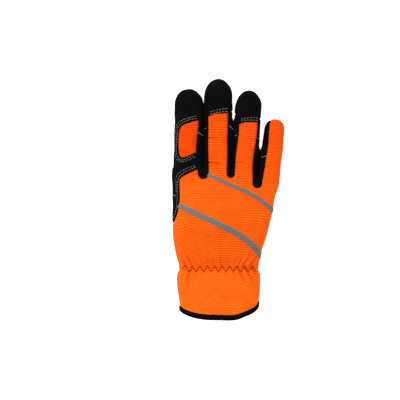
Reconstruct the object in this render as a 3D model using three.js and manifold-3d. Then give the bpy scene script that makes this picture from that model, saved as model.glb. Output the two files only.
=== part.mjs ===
// A slip-on mechanic's glove for the right hand, lying palm down with its thumb folded under the palm.
// Millimetres, +Z up. The fingers point along +Y, the little finger is on the +X side, and the floor is z = 0.
// The glove is one hollow body: a hand, four fingers and a thumb, each lofted through the sections in the
// tables below. That body is cut along its seams into the cloth and leather panels it is sewn from, and
// reinforcements, tapes and the hem binding lie on it as panels of their own.
import * as THREE from "three";
import { mergeVertices } from "three/addons/utils/BufferGeometryUtils.js";
import Module from "manifold-3d";

const wasm = await Module();
wasm.setup();

// Driving dimensions
const WALL = 1.8; // cloth or leather with its lining
const SEAM_GAP = 0.3; // clear space between two neighbouring panels
const FACET_SLACK = 0.04; // facets this close to flat are merged
const HEM_WIDTH = 5.6; // the binding round the mouth
const HEM_SWELL = 0.7; // how far the binding stands out of the cloth, each way
const TAPE_THICK = 0.6;
const PAD_THICK = 2.2; // the padded knuckle and heel patches
const FLOOR_BELOW = -20; // cutters reach from here
const SKY_ABOVE = 60; // to here

// The lower edge of the hem, seen from above.
const HEM_LINE = [[-64, -112], [-50, -114.8], [-37, -120], [-14, -124.8], [7, -124.6], [20, -119.4], [32, -107.6], [44, -101]];

// Cross-sections of the hand from below the hem to the web of the fingers. Each is a flattened oval between
// left and right, widest at height rim, reaching top above it and bottom below it. full is how square it is.
const HAND = [
  { y: -136, left: -49.0, right: 30.2, rim: 12.4, top: 14.5, bottom: 11.6, gather: 0.0 },
  { y: -109, left: -50.6, right: 31.2, rim: 12.4, top: 14.5, bottom: 11.6, gather: 0.0 },
  { y: -88, left: -53.0, right: 32.6, rim: 12.0, top: 14.0, bottom: 11.2, gather: 0.2 },
  { y: -76, left: -52.2, right: 32.0, rim: 11.5, top: 12.2, bottom: 10.2, gather: 0.8 },
  { y: -69.5, left: -51.0, right: 31.0, rim: 11.0, top: 10.8, bottom: 9.4, gather: 1.3 },
  { y: -65.5, left: -50.8, right: 30.7, rim: 11.0, top: 10.2, bottom: 9.2, gather: 0.9 },
  { y: -61, left: -52.6, right: 31.8, rim: 11.2, top: 11.4, bottom: 9.2, gather: 1.3 },
  { y: -53, left: -55.2, right: 34.2, rim: 12.0, top: 13.6, bottom: 9.7, gather: 0.7 },
  { y: -40, left: -57.1, right: 38.6, rim: 13.0, top: 15.6, bottom: 10.8, gather: 0.2 },
  { y: -14, left: -57.6, right: 45.2, rim: 13.0, top: 15.4, bottom: 10.8, gather: 0.0 },
  { y: 10, left: -57.6, right: 48.8, rim: 11.6, top: 12.4, bottom: 9.0, gather: 0.0 },
  { y: 24, left: -57.2, right: 51.3, rim: 10.2, top: 8.8, bottom: 7.4, gather: 0.0 },
];
const HAND_FULL = { top: 2.35, bottom: 3.2 };
const WEB = { reach: 9, steps: [0.6, 0.9], narrow: 0.12 }; // the rounded end between the fingers
const KNUCKLE_SKEW = { perX: -0.13, from: -20, to: 24 }; // the web runs lower towards the little finger
const GATHER = { folds: 18, fromAngle: -0.35, toAngle: 1.35 }; // elastic ruffles, as shares of a half turn

// Fingers. base and tip are plan positions of the middle line, the half widths are at the base and where the
// rounded end begins, and roundEnd is how long that end is.
const FINGERS = {
  index: { base: [-42.1, 0], tip: [-40.8, 114.6], halfBase: 15.2, halfEnd: 14.3, roundEnd: 16 },
  middle: { base: [-11.6, 0], tip: [-10.2, 125], halfBase: 14.2, halfEnd: 14.3, roundEnd: 19 },
  ring: { base: [14.9, 0], tip: [21.7, 113], halfBase: 13.0, halfEnd: 13.3, roundEnd: 18 },
  little: { base: [38.9, 0], tip: [49.3, 83.8], halfBase: 11.5, halfEnd: 10.6, roundEnd: 12 },
};
const FINGER_FULL = { top: 2.2, bottom: 2.7 };
// Heights along a finger, as shares of the way from its base to where its round end begins. Its base is
// drawn in by root so that it stays inside the hand.
const FINGER_HEIGHTS = [
  { share: 0.0, rim: 10.8, top: 7.6, bottom: 7.6, root: 0.5 },
  { share: 0.14, rim: 10.4, top: 7.7, bottom: 7.6, root: 0.84 },
  { share: 0.28, rim: 9.6, top: 7.9, bottom: 7.6, root: 1 },
  { share: 0.48, rim: 8.6, top: 8.2, bottom: 7.6, root: 1 },
  { share: 0.75, rim: 7.6, top: 8.0, bottom: 7.5, root: 1 },
  { share: 1.0, rim: 7.1, top: 7.6, bottom: 7.2, root: 1 },
];
const END_STEPS = [0.4, 0.68, 0.87, 0.97]; // sections in a round end, as shares of its length
const TIP_DROOP = 0.35; // a fingertip's rim sinks by this share of its height

// The thumb, folded flat under the palm. Its sections stand square to the line through them.
const THUMB = [
  { x: -33, y: -72, half: 8.0, rim: 12.0, top: 5.0, bottom: 6.0 },
  { x: -34, y: -60, half: 14.6, rim: 10.6, top: 7.6, bottom: 8.8 },
  { x: -33, y: -47, half: 17.3, rim: 8.2, top: 7.0, bottom: 8.0 },
  { x: -29, y: -34, half: 16.8, rim: 6.6, top: 6.0, bottom: 6.6 },
  { x: -20.5, y: -14, half: 15.2, rim: 5.6, top: 5.2, bottom: 5.6 },
  { x: -10.5, y: 4, half: 14.2, rim: 5.3, top: 5.0, bottom: 5.3 },
  { x: -5.5, y: 12, half: 13.2, rim: 5.1, top: 4.8, bottom: 5.1 },
];
const THUMB_FULL = { top: 2.2, bottom: 2.6 };
const THUMB_END = 13;
// The palm and the finger roots are carried over the thumb: all of the lift at the palm, less at the back.
const LIFT = { height: 11.6, flat: 6, fade: 36, backShare: 0.6, backHeight: 28, from: -50, to: -26 };

// Seams of the back, as plan positions.
const SEAMS = {
  // The black guard round the index finger: its edge against the orange back, from the web to the side.
  guardEdge: [
    [-32.1, 32], [-39.8, 29], [-47.2, 25.9], [-50.2, 23], [-50.7, 18], [-50.6, -3], [-52.3, -9], [-54.6, -17],
    [-57.2, -26], [-70, -29],
  ],
  // The window in the guard where the orange back of the index finger shows.
  indexInset: [
    [-31.6, 81.6], [-44, 79.3], [-48.6, 77.6], [-50.9, 74], [-52.2, 58], [-51, 47.2], [-48.6, 44.4], [-45.4, 44.3],
    [-33.6, 48.8],
  ],
  indexCapLine: 82.2,
  middleCapLine: [[-26.4, 83.6], [-14, 87.4], [6, 89.4]],
  ringCapLine: [[6, 79], [18, 80.4], [36.5, 80.4]],
};
// The black side walls between the fingers, seen from above: each is a slot with a round lower end.
const SLOTS = {
  fourchette_index_middle: {
    left: [[-31.9, 28], [-33.6, 48], [-31.9, 82]],
    right: [[-20.7, 28], [-21.3, 55], [-20.9, 84.6]],
    end: [-26.2, 27.3],
    radius: 5.6,
  },
  fourchette_middle_ring: {
    left: [[-1.8, 28], [-1.0, 55], [-0.9, 88.6]],
    right: [[6.3, 28], [7.8, 48], [11.0, 79.2]],
    end: [2.3, 27],
    radius: 4.2,
  },
  fourchette_ring_little: {
    left: [[24.9, 18], [25.4, 41], [28.8, 62], [30.4, 80]],
    right: [[34.8, 18], [38.2, 41], [40.8, 57], [42.4, 79], [47, 86]],
    end: [29.8, 16.8],
    radius: 4.9,
  },
};
// Where the palm leather meets the orange that wraps round from the back, seen through from above.
const PALM_SEAM = {
  thumbSide: [[-21.5, -140], [-21.7, -119], [-23.9, -96], [-29, -80], [-31, -67], [-33, -54], [-44, -36], [-50.5, -26]],
  indexSide: [[-50.5, 26], [-75, 34]],
  littleSide: [[75, 22], [45, 22], [39.5, 8], [33, -14], [27, -40], [19, -66], [21, -88], [20, -140]],
  fingerSide: 0.52, // how far up a finger's lower half the leather reaches
};
// The thumb, seen through from above: orange back between the saddle and the palm leather.
const THUMB_SEAM = {
  saddle: [[-70, -43], [-55, -32], [-30, -6.5], [-6.4, 18.6], [4, 44]],
  back: [[-70, -80], [-31, -80], [-24, -42], [-13.5, -19], [-1.4, 2], [-0.4, 8.5], [-3.4, 16.4], [-30, 30], [-80, 30]],
};

const TAPES = {
  reflective_tape_upper: {
    line: [[-21.5, 26.4], [-5.8, 19.2], [9.3, 12.6], [23.5, 5.9], [33, 0.2], [43.6, -8.2], [51, -15]],
    width: [3.5, 4.4],
  },
  reflective_tape_lower: {
    line: [[-55, -3.6], [-50.7, -5.7], [-35.8, -12.8], [-20.7, -19.6], [-5.8, -26.8], [9.3, -35], [24.2, -46.2], [33.5, -57.5]],
    width: [4.9, 5.8],
  },
};
// Padded patches of the palm, seen through from above.
const PADS = {
  knuckle_pad_index: { corners: [[-51, 35], [-35, 35], [-34.4, 22], [-35, 12], [-35, -1.5], [-51, -1.5]], round: 5 },
  knuckle_pad_middle: { corners: [[-22, 33.5], [-10.5, 33.5], [-10, 24.5], [-22, 16.5]], round: 4 },
  heel_pad: { corners: [[4, -8], [29, -6], [22, -36], [8, -49], [-13, -43], [-7, -25]], round: 7 },
};

const MATERIALS = {
  orangeRib: { color: 0xff5a0a, roughness: 0.85 },
  blackLeather: { color: 0x141414, roughness: 0.6 },
  blackCloth: { color: 0x16161a, roughness: 0.8 },
  blackPad: { color: 0x1b1b1c, roughness: 0.5 },
  greyTape: { color: 0x7c7c80, roughness: 0.45 },
  blackBinding: { color: 0x121214, roughness: 0.9 },
};

const clamp = (v, low, high) => Math.min(high, Math.max(low, v));
const mix = (a, b, t) => a + (b - a) * t;
const smooth = (t) => {
  const c = clamp(t, 0, 1);
  return c * c * (3 - 2 * c);
};
const power = (v, p) => Math.sign(v) * Math.abs(v) ** p;

// How high the folded thumb carries the palm above a plan position.
function liftAt(x, y) {
  let nearest = Infinity;
  for (let i = 3; i < THUMB.length - 1; i++) {
    const [a, b] = [THUMB[i], THUMB[i + 1]];
    const along = clamp(((x - a.x) * (b.x - a.x) + (y - a.y) * (b.y - a.y)) / ((b.x - a.x) ** 2 + (b.y - a.y) ** 2), 0, 1);
    nearest = Math.min(nearest, Math.hypot(x - mix(a.x, b.x, along), y - mix(a.y, b.y, along)));
  }
  const near = 1 - smooth((nearest - LIFT.flat) / LIFT.fade);
  return LIFT.height * near * smooth((y - LIFT.from) / (LIFT.to - LIFT.from));
}

// A point of the hand or a finger, carried up by the thumb below it.
function carried(x, y, z) {
  return new THREE.Vector3(x, y, z + liftAt(x, y) * (1 - (LIFT.backShare * clamp(z, 0, LIFT.backHeight)) / LIFT.backHeight));
}

// One flattened oval, as [side, height, share of a half turn] about its middle, evenly spaced round its edge.
function oval(half, top, bottom, full, count) {
  const fine = 360;
  const points = [];
  for (let i = 0; i <= fine; i++) {
    const t = (2 * Math.PI * i) / fine;
    const rise = Math.sin(t);
    const n = rise >= 0 ? full.top : full.bottom;
    points.push([half * power(Math.cos(t), 2 / n), (rise >= 0 ? top : bottom) * power(rise, 2 / n), t / Math.PI]);
  }
  const lengths = [0];
  for (let i = 1; i <= fine; i++)
    lengths.push(lengths[i - 1] + Math.hypot(points[i][0] - points[i - 1][0], points[i][1] - points[i - 1][1]));
  const ring = [];
  for (let j = 0, i = 0; j < count; j++) {
    const want = (lengths[fine] * j) / count;
    while (lengths[i + 1] < want) i++;
    const t = (want - lengths[i]) / (lengths[i + 1] - lengths[i]);
    ring.push(points[i].map((v, k) => mix(v, points[i + 1][k], t)));
  }
  return ring;
}

// A closed body through rings of points, each ring counted the same way round.
function loft(rings) {
  const count = rings[0].length;
  const vertices = rings.flat();
  const faces = [];
  for (let r = 0; r + 1 < rings.length; r++)
    for (let i = 0; i < count; i++) {
      const [a, b] = [r * count + i, r * count + ((i + 1) % count)];
      faces.push(a, a + count, b, b, a + count, b + count);
    }
  for (const end of [0, rings.length - 1]) {
    const centre = rings[end].reduce((sum, p) => sum.add(p), new THREE.Vector3()).divideScalar(count);
    const hub = vertices.push(centre) - 1;
    for (let i = 0; i < count; i++) {
      const [a, b] = [end * count + i, end * count + ((i + 1) % count)];
      faces.push(hub, ...(end ? [b, a] : [a, b]));
    }
  }
  const geometry = new THREE.BufferGeometry().setFromPoints(vertices);
  geometry.setIndex(faces);
  return geometry;
}

// A closed geometry as a solid that can be joined and cut.
function solid(geometry) {
  const bare = geometry.clone();
  bare.deleteAttribute("normal");
  bare.deleteAttribute("uv");
  const merged = mergeVertices(bare, 1e-4);
  return new wasm.Manifold(
    new wasm.Mesh({
      numProp: 3,
      vertProperties: new Float32Array(merged.attributes.position.array),
      triVerts: new Uint32Array(merged.index.array),
    }),
  );
}

const joined = (first, ...others) => others.reduce((sum, next) => sum.add(next), first);

// The hand, grown outwards by grow, or shrunk where that is negative.
function handSolid(grow, count) {
  const ruffled = grow >= 0;
  const rows = HAND.map((row) => ({ ...row, shrink: 1, narrow: 1 }));
  const last = HAND[HAND.length - 1];
  for (const step of WEB.steps)
    rows.push({
      ...last,
      y: last.y + step * (WEB.reach + grow),
      shrink: Math.sqrt(1 - step ** 2),
      narrow: 1 - WEB.narrow * step ** 2,
    });
  const rings = rows.map((row) => {
    const middle = (row.left + row.right) / 2;
    const half = ((row.right - row.left) / 2 + grow) * row.narrow;
    const ring = oval(half, (row.top + grow) * row.shrink, (row.bottom + grow) * row.shrink, HAND_FULL, count);
    const skew = KNUCKLE_SKEW.perX * smooth((row.y - KNUCKLE_SKEW.from) / (KNUCKLE_SKEW.to - KNUCKLE_SKEW.from));
    return ring.map(([side, height, turn], i) => {
      const angle = turn > 1.5 ? turn - 2 : turn;
      const folded = ruffled && angle > GATHER.fromAngle && angle < GATHER.toAngle;
      const ruffle = folded ? 1 + (row.gather * Math.cos((2 * Math.PI * GATHER.folds * i) / count)) / row.top : 1;
      const x = middle + side * (1 + (ruffle - 1) * 0.25);
      return carried(x, row.y + skew * (x - middle), row.rim + height * ruffle);
    });
  });
  return solid(loft(rings));
}

// Interpolates a value named key in a table of rows by their share.
function atShare(table, share, key) {
  const i = Math.max(1, table.findIndex((row) => row.share >= share - 1e-9));
  const [a, b] = [table[i - 1], table[i]];
  return mix(a[key], b[key], (share - a.share) / (b.share - a.share));
}

// A finger, grown outwards by grow.
function fingerSolid(finger, grow, count) {
  const [base, tip] = [new THREE.Vector2(...finger.base), new THREE.Vector2(...finger.tip)];
  const along = tip.clone().sub(base).normalize();
  const across = new THREE.Vector2(along.y, -along.x);
  const body = tip.distanceTo(base) - finger.roundEnd;
  const rings = FINGER_HEIGHTS.map(({ share, root }) => ({ share, far: body * share, shrink: root, droop: 0 }));
  for (const step of END_STEPS)
    rings.push({
      share: 1,
      far: body + step * (finger.roundEnd + grow),
      shrink: Math.sqrt(1 - step ** 2),
      droop: TIP_DROOP * step ** 2,
    });
  return solid(
    loft(
      rings.map(({ share, far, shrink, droop }) => {
        const [rim, top, bottom] = ["rim", "top", "bottom"].map((key) => atShare(FINGER_HEIGHTS, share, key));
        const half = mix(finger.halfBase, finger.halfEnd, share) + grow;
        const middle = base.clone().addScaledVector(along, far);
        return oval(half * shrink, (top + grow) * shrink, (bottom + grow) * shrink, FINGER_FULL, count).map(([side, height]) =>
          carried(middle.x + across.x * side, middle.y + across.y * side, rim * (1 - droop) + height),
        );
      }),
    ),
  );
}

// The folded thumb, grown outwards by grow.
function thumbSolid(grow, count) {
  const line = new THREE.CatmullRomCurve3(THUMB.map(({ x, y }) => new THREE.Vector3(x, y, 0)));
  const rows = THUMB.map((row, i) => ({ ...row, far: 0, shrink: 1, at: i / (THUMB.length - 1) }));
  const last = rows[rows.length - 1];
  for (const step of END_STEPS)
    rows.push({ ...last, far: step * (THUMB_END + grow), shrink: Math.sqrt(1 - step ** 2) });
  return solid(
    loft(
      rows.map((row) => {
        const along = line.getTangent(row.at);
        const [x, y] = [row.x + along.x * row.far, row.y + along.y * row.far];
        const ring = oval(
          (row.half + grow) * row.shrink,
          (row.top + grow) * row.shrink,
          (row.bottom + grow) * row.shrink,
          THUMB_FULL,
          count,
        );
        return ring.map(([side, height]) => new THREE.Vector3(x + along.y * side, y - along.x * side, row.rim + height));
      }),
    ),
  );
}

function handAndFingers(grow, handSides = 36, fingerSides = 16) {
  const fingers = Object.values(FINGERS).map((finger) => fingerSolid(finger, grow, fingerSides));
  return joined(handSolid(grow, handSides), ...fingers);
}

// An upright block over a plan outline, with its sides moved out by grow.
function block(outline, grow = 0, low = FLOOR_BELOW, high = SKY_ABOVE) {
  const points = outline.map(([x, y]) => new THREE.Vector2(x, y));
  if (THREE.ShapeUtils.area(points) < 0) points.reverse();
  const moved = points.map((p, i) => {
    const before = p.clone().sub(points.at(i - 1)).normalize();
    const after = points[(i + 1) % points.length].clone().sub(p).normalize();
    const outward = new THREE.Vector2(before.y + after.y, -before.x - after.x);
    const reach = Math.max(0.5, outward.dot(new THREE.Vector2(before.y, -before.x)));
    return p.clone().addScaledVector(outward, grow / reach);
  });
  const geometry = new THREE.ExtrudeGeometry(new THREE.Shape(moved), { depth: high - low, bevelEnabled: false });
  return solid(geometry.translate(0, 0, low));
}

// Everything below a height that changes over the plan, as a solid with a faceted top.
function ground(heightAt, cells = 14) {
  const [west, east, south, north] = [-80, 80, -150, 140];
  const at = (i, j, z) => {
    const [x, y] = [mix(west, east, i / cells), mix(south, north, j / (2 * cells))];
    return new THREE.Vector3(x, y, z ?? heightAt(x, y));
  };
  const top = [];
  const floor = [];
  for (let j = 0; j <= 2 * cells; j++)
    for (let i = 0; i <= cells; i++) {
      top.push(at(i, j));
      floor.push(at(i, j, FLOOR_BELOW));
    }
  const row = cells + 1;
  const faces = [];
  const quad = (a, b, c, d) => faces.push(a, b, c, a, c, d);
  const under = top.length;
  for (let j = 0; j < 2 * cells; j++)
    for (let i = 0; i < cells; i++) {
      const a = j * row + i;
      quad(a, a + 1, a + 1 + row, a + row);
      quad(under + a, under + a + row, under + a + 1 + row, under + a + 1);
    }
  for (let i = 0; i < cells; i++) {
    const a = 2 * cells * row + i;
    quad(under + i, under + i + 1, i + 1, i);
    quad(a, a + 1, under + a + 1, under + a);
  }
  for (let j = 0; j < 2 * cells; j++) {
    const [a, b] = [j * row, j * row + cells];
    quad(a, a + row, under + a + row, under + a);
    quad(under + b, under + b + row, b + row, b);
  }
  const geometry = new THREE.BufferGeometry().setFromPoints([...top, ...floor]);
  geometry.setIndex(faces);
  return solid(geometry);
}

// A line through plan points as an outline of a strip, whose width runs from the first value to the second.
function stripOutline(line, width, steps) {
  const curve = new THREE.SplineCurve(line.map(([x, y]) => new THREE.Vector2(x, y)));
  const [one, other] = [[], []];
  for (let i = 0; i <= steps; i++) {
    const p = curve.getPoint(i / steps);
    const along = curve.getTangent(i / steps);
    const half = mix(width[0], width[1], i / steps) / 2;
    one.push([p.x + along.y * half, p.y - along.x * half]);
    other.unshift([p.x - along.y * half, p.y + along.x * half]);
  }
  return [...one, ...other];
}

// A slot between two fingers: up its right edge, down its left edge and round its lower end.
function slotOutline({ left, right, end, radius }) {
  const arc = [];
  for (let i = 1; i < 8; i++) {
    const angle = Math.PI + (Math.PI * i) / 8;
    arc.push([end[0] + radius * Math.cos(angle), end[1] + radius * Math.sin(angle)]);
  }
  return [...right, ...[...left].reverse(), ...arc];
}

// Corners of an outline cut back to arcs.
function rounded(corners, radius, steps = 4) {
  return corners.flatMap((corner, i) => {
    const p = new THREE.Vector2(...corner);
    const towards = (q) => {
      const way = new THREE.Vector2(...q).sub(p);
      return p.clone().addScaledVector(way.clone().normalize(), Math.min(radius, way.length() * 0.48));
    };
    const [start, stop] = [towards(corners.at(i - 1)), towards(corners[(i + 1) % corners.length])];
    const bend = new THREE.QuadraticBezierCurve(start, p, stop);
    return bend.getPoints(steps).map(({ x, y }) => [x, y]);
  });
}

// The plan outline of everything below a line that follows the hem, above it by up.
function belowHem(up) {
  const curve = new THREE.SplineCurve(HEM_LINE.map(([x, y]) => new THREE.Vector2(x, y + up)));
  return [...curve.getPoints(24).map(({ x, y }) => [x, y]), [60, -160], [-80, -160]];
}

// Halfway up the hand, and up to the edge of the leather on the fingers, carried over the thumb.
function splitHeight(x, y) {
  const onFinger = smooth((y - 12) / 16);
  const z = mix(13, FINGER_HEIGHTS[2].rim * PALM_SEAM.fingerSide, onFinger);
  return carried(x, y, z).z;
}

// The biggest body in a solid: cuts can leave crumbs.
const biggest = (made) => made.decompose().reduce((a, b) => (a.volume() >= b.volume() ? a : b));

const glove = new THREE.Group();
glove.name = "mechanic_glove";

function addPiece(name, made, material) {
  const lying = made.trimByPlane([0, 0, 1], 0);
  const { vertProperties, triVerts } = biggest(lying.asOriginal().simplify(FACET_SLACK)).getMesh();
  const geometry = new THREE.BufferGeometry();
  geometry.setAttribute("position", new THREE.BufferAttribute(new Float32Array(vertProperties), 3));
  geometry.setIndex(new THREE.BufferAttribute(new Uint32Array(triVerts), 1));
  geometry.computeVertexNormals();
  const mesh = new THREE.Mesh(geometry, new THREE.MeshStandardMaterial({ metalness: 0, side: THREE.FrontSide, ...material }));
  mesh.name = name;
  glove.add(mesh);
}

// The glove as one hollow body, open at the cuff.
const outer = joined(handAndFingers(0, 72, 20), thumbSolid(0, 20));
const cavity = joined(handAndFingers(-WALL), thumbSolid(-WALL, 14));
const shell = outer.subtract(cavity).subtract(block(belowHem(HEM_WIDTH + SEAM_GAP)));

// The thumb is what stands out of the hand, parted into its saddle, its back and its palm side.
{
  let rest = biggest(shell.subtract(handAndFingers(SEAM_GAP, 72, 20)));
  const saddle = (grow) => block([...THUMB_SEAM.saddle, [-80, 60]], grow);
  addPiece("thumb_saddle", rest.intersect(saddle(0)), MATERIALS.blackLeather);
  rest = rest.subtract(saddle(SEAM_GAP));
  const thumbRim = (x, y) => clamp(mix(8.6, 5.4, (y + 52) / 40), 5.2, 8.6);
  const back = (grow) => block(THUMB_SEAM.back, grow).intersect(ground((x, y) => thumbRim(x, y) + grow));
  addPiece("thumb_back", rest.intersect(back(0)), MATERIALS.orangeRib);
  addPiece("thumb_palm", rest.subtract(back(SEAM_GAP)), MATERIALS.blackLeather);
}

// The hand and fingers, parted along their seams.
{
  let rest = shell.intersect(handAndFingers(0, 72, 20));
  const take = (name, cutter, material) => {
    addPiece(name, rest.intersect(cutter(0)), material);
    rest = rest.subtract(cutter(SEAM_GAP));
  };
  const fingerZone = [[-80, 26], [-50.5, 26], [45, 22], [80, 22], [80, 140], [-80, 140]];
  const palmOutline = [...PALM_SEAM.thumbSide, ...PALM_SEAM.indexSide.slice(0, 1), ...PALM_SEAM.littleSide.slice(1)];
  const palm = (grow) =>
    joined(block(palmOutline, grow), block(fingerZone, grow)).intersect(ground((x, y) => splitHeight(x, y) + grow));
  take("palm_panel", palm, MATERIALS.blackLeather);
  for (const [name, slot] of Object.entries(SLOTS))
    take(name, (grow) => block(slotOutline(slot), grow), MATERIALS.blackCloth);
  take("middle_fingertip", (grow) => block([...SEAMS.middleCapLine, [6, 140], [-26.4, 140]], grow), MATERIALS.blackLeather);
  take("ring_fingertip", (grow) => block([...SEAMS.ringCapLine, [36.5, 130], [6, 130]], grow), MATERIALS.blackLeather);
  take(
    "index_back",
    (grow) => block(SEAMS.indexInset, grow, splitHeight(-42, 60) + 3),
    MATERIALS.orangeRib,
  );
  const guard = [...SEAMS.guardEdge, [-80, 130], [-26.4, 130], [-26.4, SEAMS.indexCapLine], [-31.6, SEAMS.indexCapLine]];
  take("index_guard", (grow) => block(guard, grow), MATERIALS.blackLeather);
  addPiece("back_panel", rest, MATERIALS.orangeRib);
}

// A layer that lies on the glove, from under to over above its skin, inside a plan outline.
function layer(outline, under, over, onPalm) {
  const side = ground(splitHeight);
  const band = handAndFingers(over, 72, 20).subtract(handAndFingers(under, 72, 20)).intersect(block(outline));
  return onPalm ? band.intersect(side) : band.subtract(side);
}

for (const [name, { line, width }] of Object.entries(TAPES))
  addPiece(name, layer(stripOutline(line, width, 12), SEAM_GAP, SEAM_GAP + TAPE_THICK, false), MATERIALS.greyTape);

{
  const pads = Object.entries(PADS).map(([name, { corners, round }]) => [name, rounded(corners, round)]);
  for (const [name, outline] of pads)
    addPiece(name, layer(outline, SEAM_GAP, SEAM_GAP + PAD_THICK, true), MATERIALS.blackPad);
}

// The binding round the mouth of the cuff.
{
  const ring = handSolid(HEM_SWELL, 48).subtract(handSolid(-WALL - HEM_SWELL, 36));
  const band = block(belowHem(HEM_WIDTH)).subtract(block(belowHem(0)));
  addPiece("cuff_binding", ring.intersect(band), MATERIALS.blackBinding);
}

export default glove;
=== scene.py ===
"""A slip-on mechanic's glove, lying palm down on a pale floor with its thumb folded under the palm.

The glove's outer skin is one implicit surface: a hand, four fingers and a thumb, each a flattened oval
whose size runs along it, blended where they meet. That skin is meshed once, and then cut along the seams
into the panels that the real glove is sewn from. Lengths in the tables are millimetres in the frame of the
CAD part: +Y from the cuff to the fingertips, +X towards the little finger, +Z up.
"""

import logging
import math
from dataclasses import dataclass
from enum import Enum
from typing import Callable

import bmesh
import bpy
import numpy as np
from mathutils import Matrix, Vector

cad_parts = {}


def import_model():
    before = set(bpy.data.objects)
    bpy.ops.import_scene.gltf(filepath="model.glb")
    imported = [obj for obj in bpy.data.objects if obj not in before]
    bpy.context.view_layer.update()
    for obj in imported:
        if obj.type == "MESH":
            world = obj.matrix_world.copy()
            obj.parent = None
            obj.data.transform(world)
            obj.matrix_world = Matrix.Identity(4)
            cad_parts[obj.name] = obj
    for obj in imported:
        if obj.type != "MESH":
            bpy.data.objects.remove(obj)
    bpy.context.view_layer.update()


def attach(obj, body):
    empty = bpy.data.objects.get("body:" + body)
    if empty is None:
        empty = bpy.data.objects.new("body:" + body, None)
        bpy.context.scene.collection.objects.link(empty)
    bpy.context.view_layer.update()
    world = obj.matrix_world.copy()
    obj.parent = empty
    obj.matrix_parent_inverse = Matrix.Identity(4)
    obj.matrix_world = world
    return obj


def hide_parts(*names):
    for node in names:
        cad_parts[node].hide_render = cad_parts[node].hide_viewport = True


Array = np.ndarray
Plan = tuple[tuple[float, float], ...]
Row = tuple[float, ...]
Field = Callable[[Array], Array]
Colour = tuple[float, float, float]
Mesh = bpy.types.Mesh
Material = bpy.types.Material
Node = bpy.types.Node
Socket = bpy.types.NodeSocket
Thing = bpy.types.Object
Tree = bpy.types.NodeTree
Groups = dict[str, Tree]
Look = tuple[Socket, float | Socket, Socket]

MM = 0.001
BODY = "root"
log = logging.getLogger("glove")


class Slot(Enum):
    """The record's material slots."""

    KNIT = "orange_rib_knit"
    LEATHER = "black_leather"
    CLOTH = "black_cloth"
    PADDING = "black_padding"
    TAPE = "grey_reflective_tape"
    BINDING = "black_binding"


def smooth(t: Array) -> Array:
    """Rises from 0 to 1 with flat ends: 3 t squared less 2 t cubed, with t held between 0 and 1."""
    held = np.clip(t, 0.0, 1.0)
    return held * held * (3.0 - 2.0 * held)


def soft_min(a: Array, b: Array, reach: float | Array) -> Array:
    """The smaller of two distances, rounded off where they differ by less than reach.

    Args:
        a: one distance for each point.
        b: the other distance.
        reach: how far the rounding spreads.

    Returns:
        b mixed to a by h, less reach h (1 - h), where h = (1 + (b - a) / reach) / 2 between 0 and 1.
    """
    share = np.clip(0.5 + 0.5 * (b - a) / reach, 0.0, 1.0)
    return b + (a - b) * share - reach * share * (1.0 - share)


def along_table(at: Array, stations: Array | Row, values: Array | Row) -> Array:
    """Reads a table smoothly: between two stations, a cubic with the slopes of the stations beside them.

    Args:
        at: where to read it.
        stations: the table's places, rising.
        values: its values at those places.

    Returns:
        One value for each place; past its ends, the table's end values.
    """
    stations, values = np.asarray(stations, float), np.asarray(values, float)
    slopes = np.gradient(values, stations)
    held = np.clip(at, stations[0], stations[-1])
    left = np.clip(np.searchsorted(stations, held, side="right") - 1, 0, len(stations) - 2)
    width = stations[left + 1] - stations[left]
    t = (held - stations[left]) / width
    start, end = values[left], values[left + 1]
    rise_start, rise_end = slopes[left] * width, slopes[left + 1] * width
    return (
        (2 * t**3 - 3 * t**2 + 1) * start
        + (t**3 - 2 * t**2 + t) * rise_start
        + (3 * t**2 - 2 * t**3) * end
        + (t**3 - t**2) * rise_end
    )


def row(*numbers: float) -> Plan:
    """Pairs up numbers into plan places."""
    return tuple(zip(numbers[::2], numbers[1::2]))


def bell(distance: Array, width: float) -> Array:
    """A bell curve: exp(-(distance / width)^2)."""
    return np.exp(-((distance / width) ** 2))


def far_along(line: Array) -> Array:
    """How far along a line each of its points lies."""
    return np.concatenate([[0.0], np.cumsum(np.linalg.norm(np.diff(line, axis=0), axis=1))])


def to_segment(x: Array, y: Array, start: Array, end: Array) -> Array:
    """Plan distance of places to the straight line from start to end."""
    way = end - start
    share = np.clip(((x - start[0]) * way[0] + (y - start[1]) * way[1]) / (way @ way + 1e-12), 0.0, 1.0)
    return np.hypot(x - start[0] - share * way[0], y - start[1] - share * way[1])


def to_line(x: Array, y: Array, line: Array) -> Array:
    """Plan distance of places to the nearest stretch of a line."""
    nearest = np.full(np.shape(x), np.inf)
    for start, end in zip(line[:-1], line[1:]):
        nearest = np.minimum(nearest, to_segment(x, y, start, end))
    return nearest


def halve(inside: Array, outside: Array, place: Field, distance: Field, rounds: int = 26) -> Array:
    """Finds a surface by halving between a number inside it and one outside it.

    Args:
        inside: for each place, a number that lies inside.
        outside: one that lies outside.
        place: turns such numbers into points.
        distance: the surface's distance.
        rounds: how often to halve.

    Returns:
        The last points found inside.
    """
    for _ in range(rounds):
        half = (inside + outside) / 2
        hit = distance(place(half)) < 0
        inside, outside = np.where(hit, half, inside), np.where(hit, outside, half)
    return place(inside)


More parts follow.
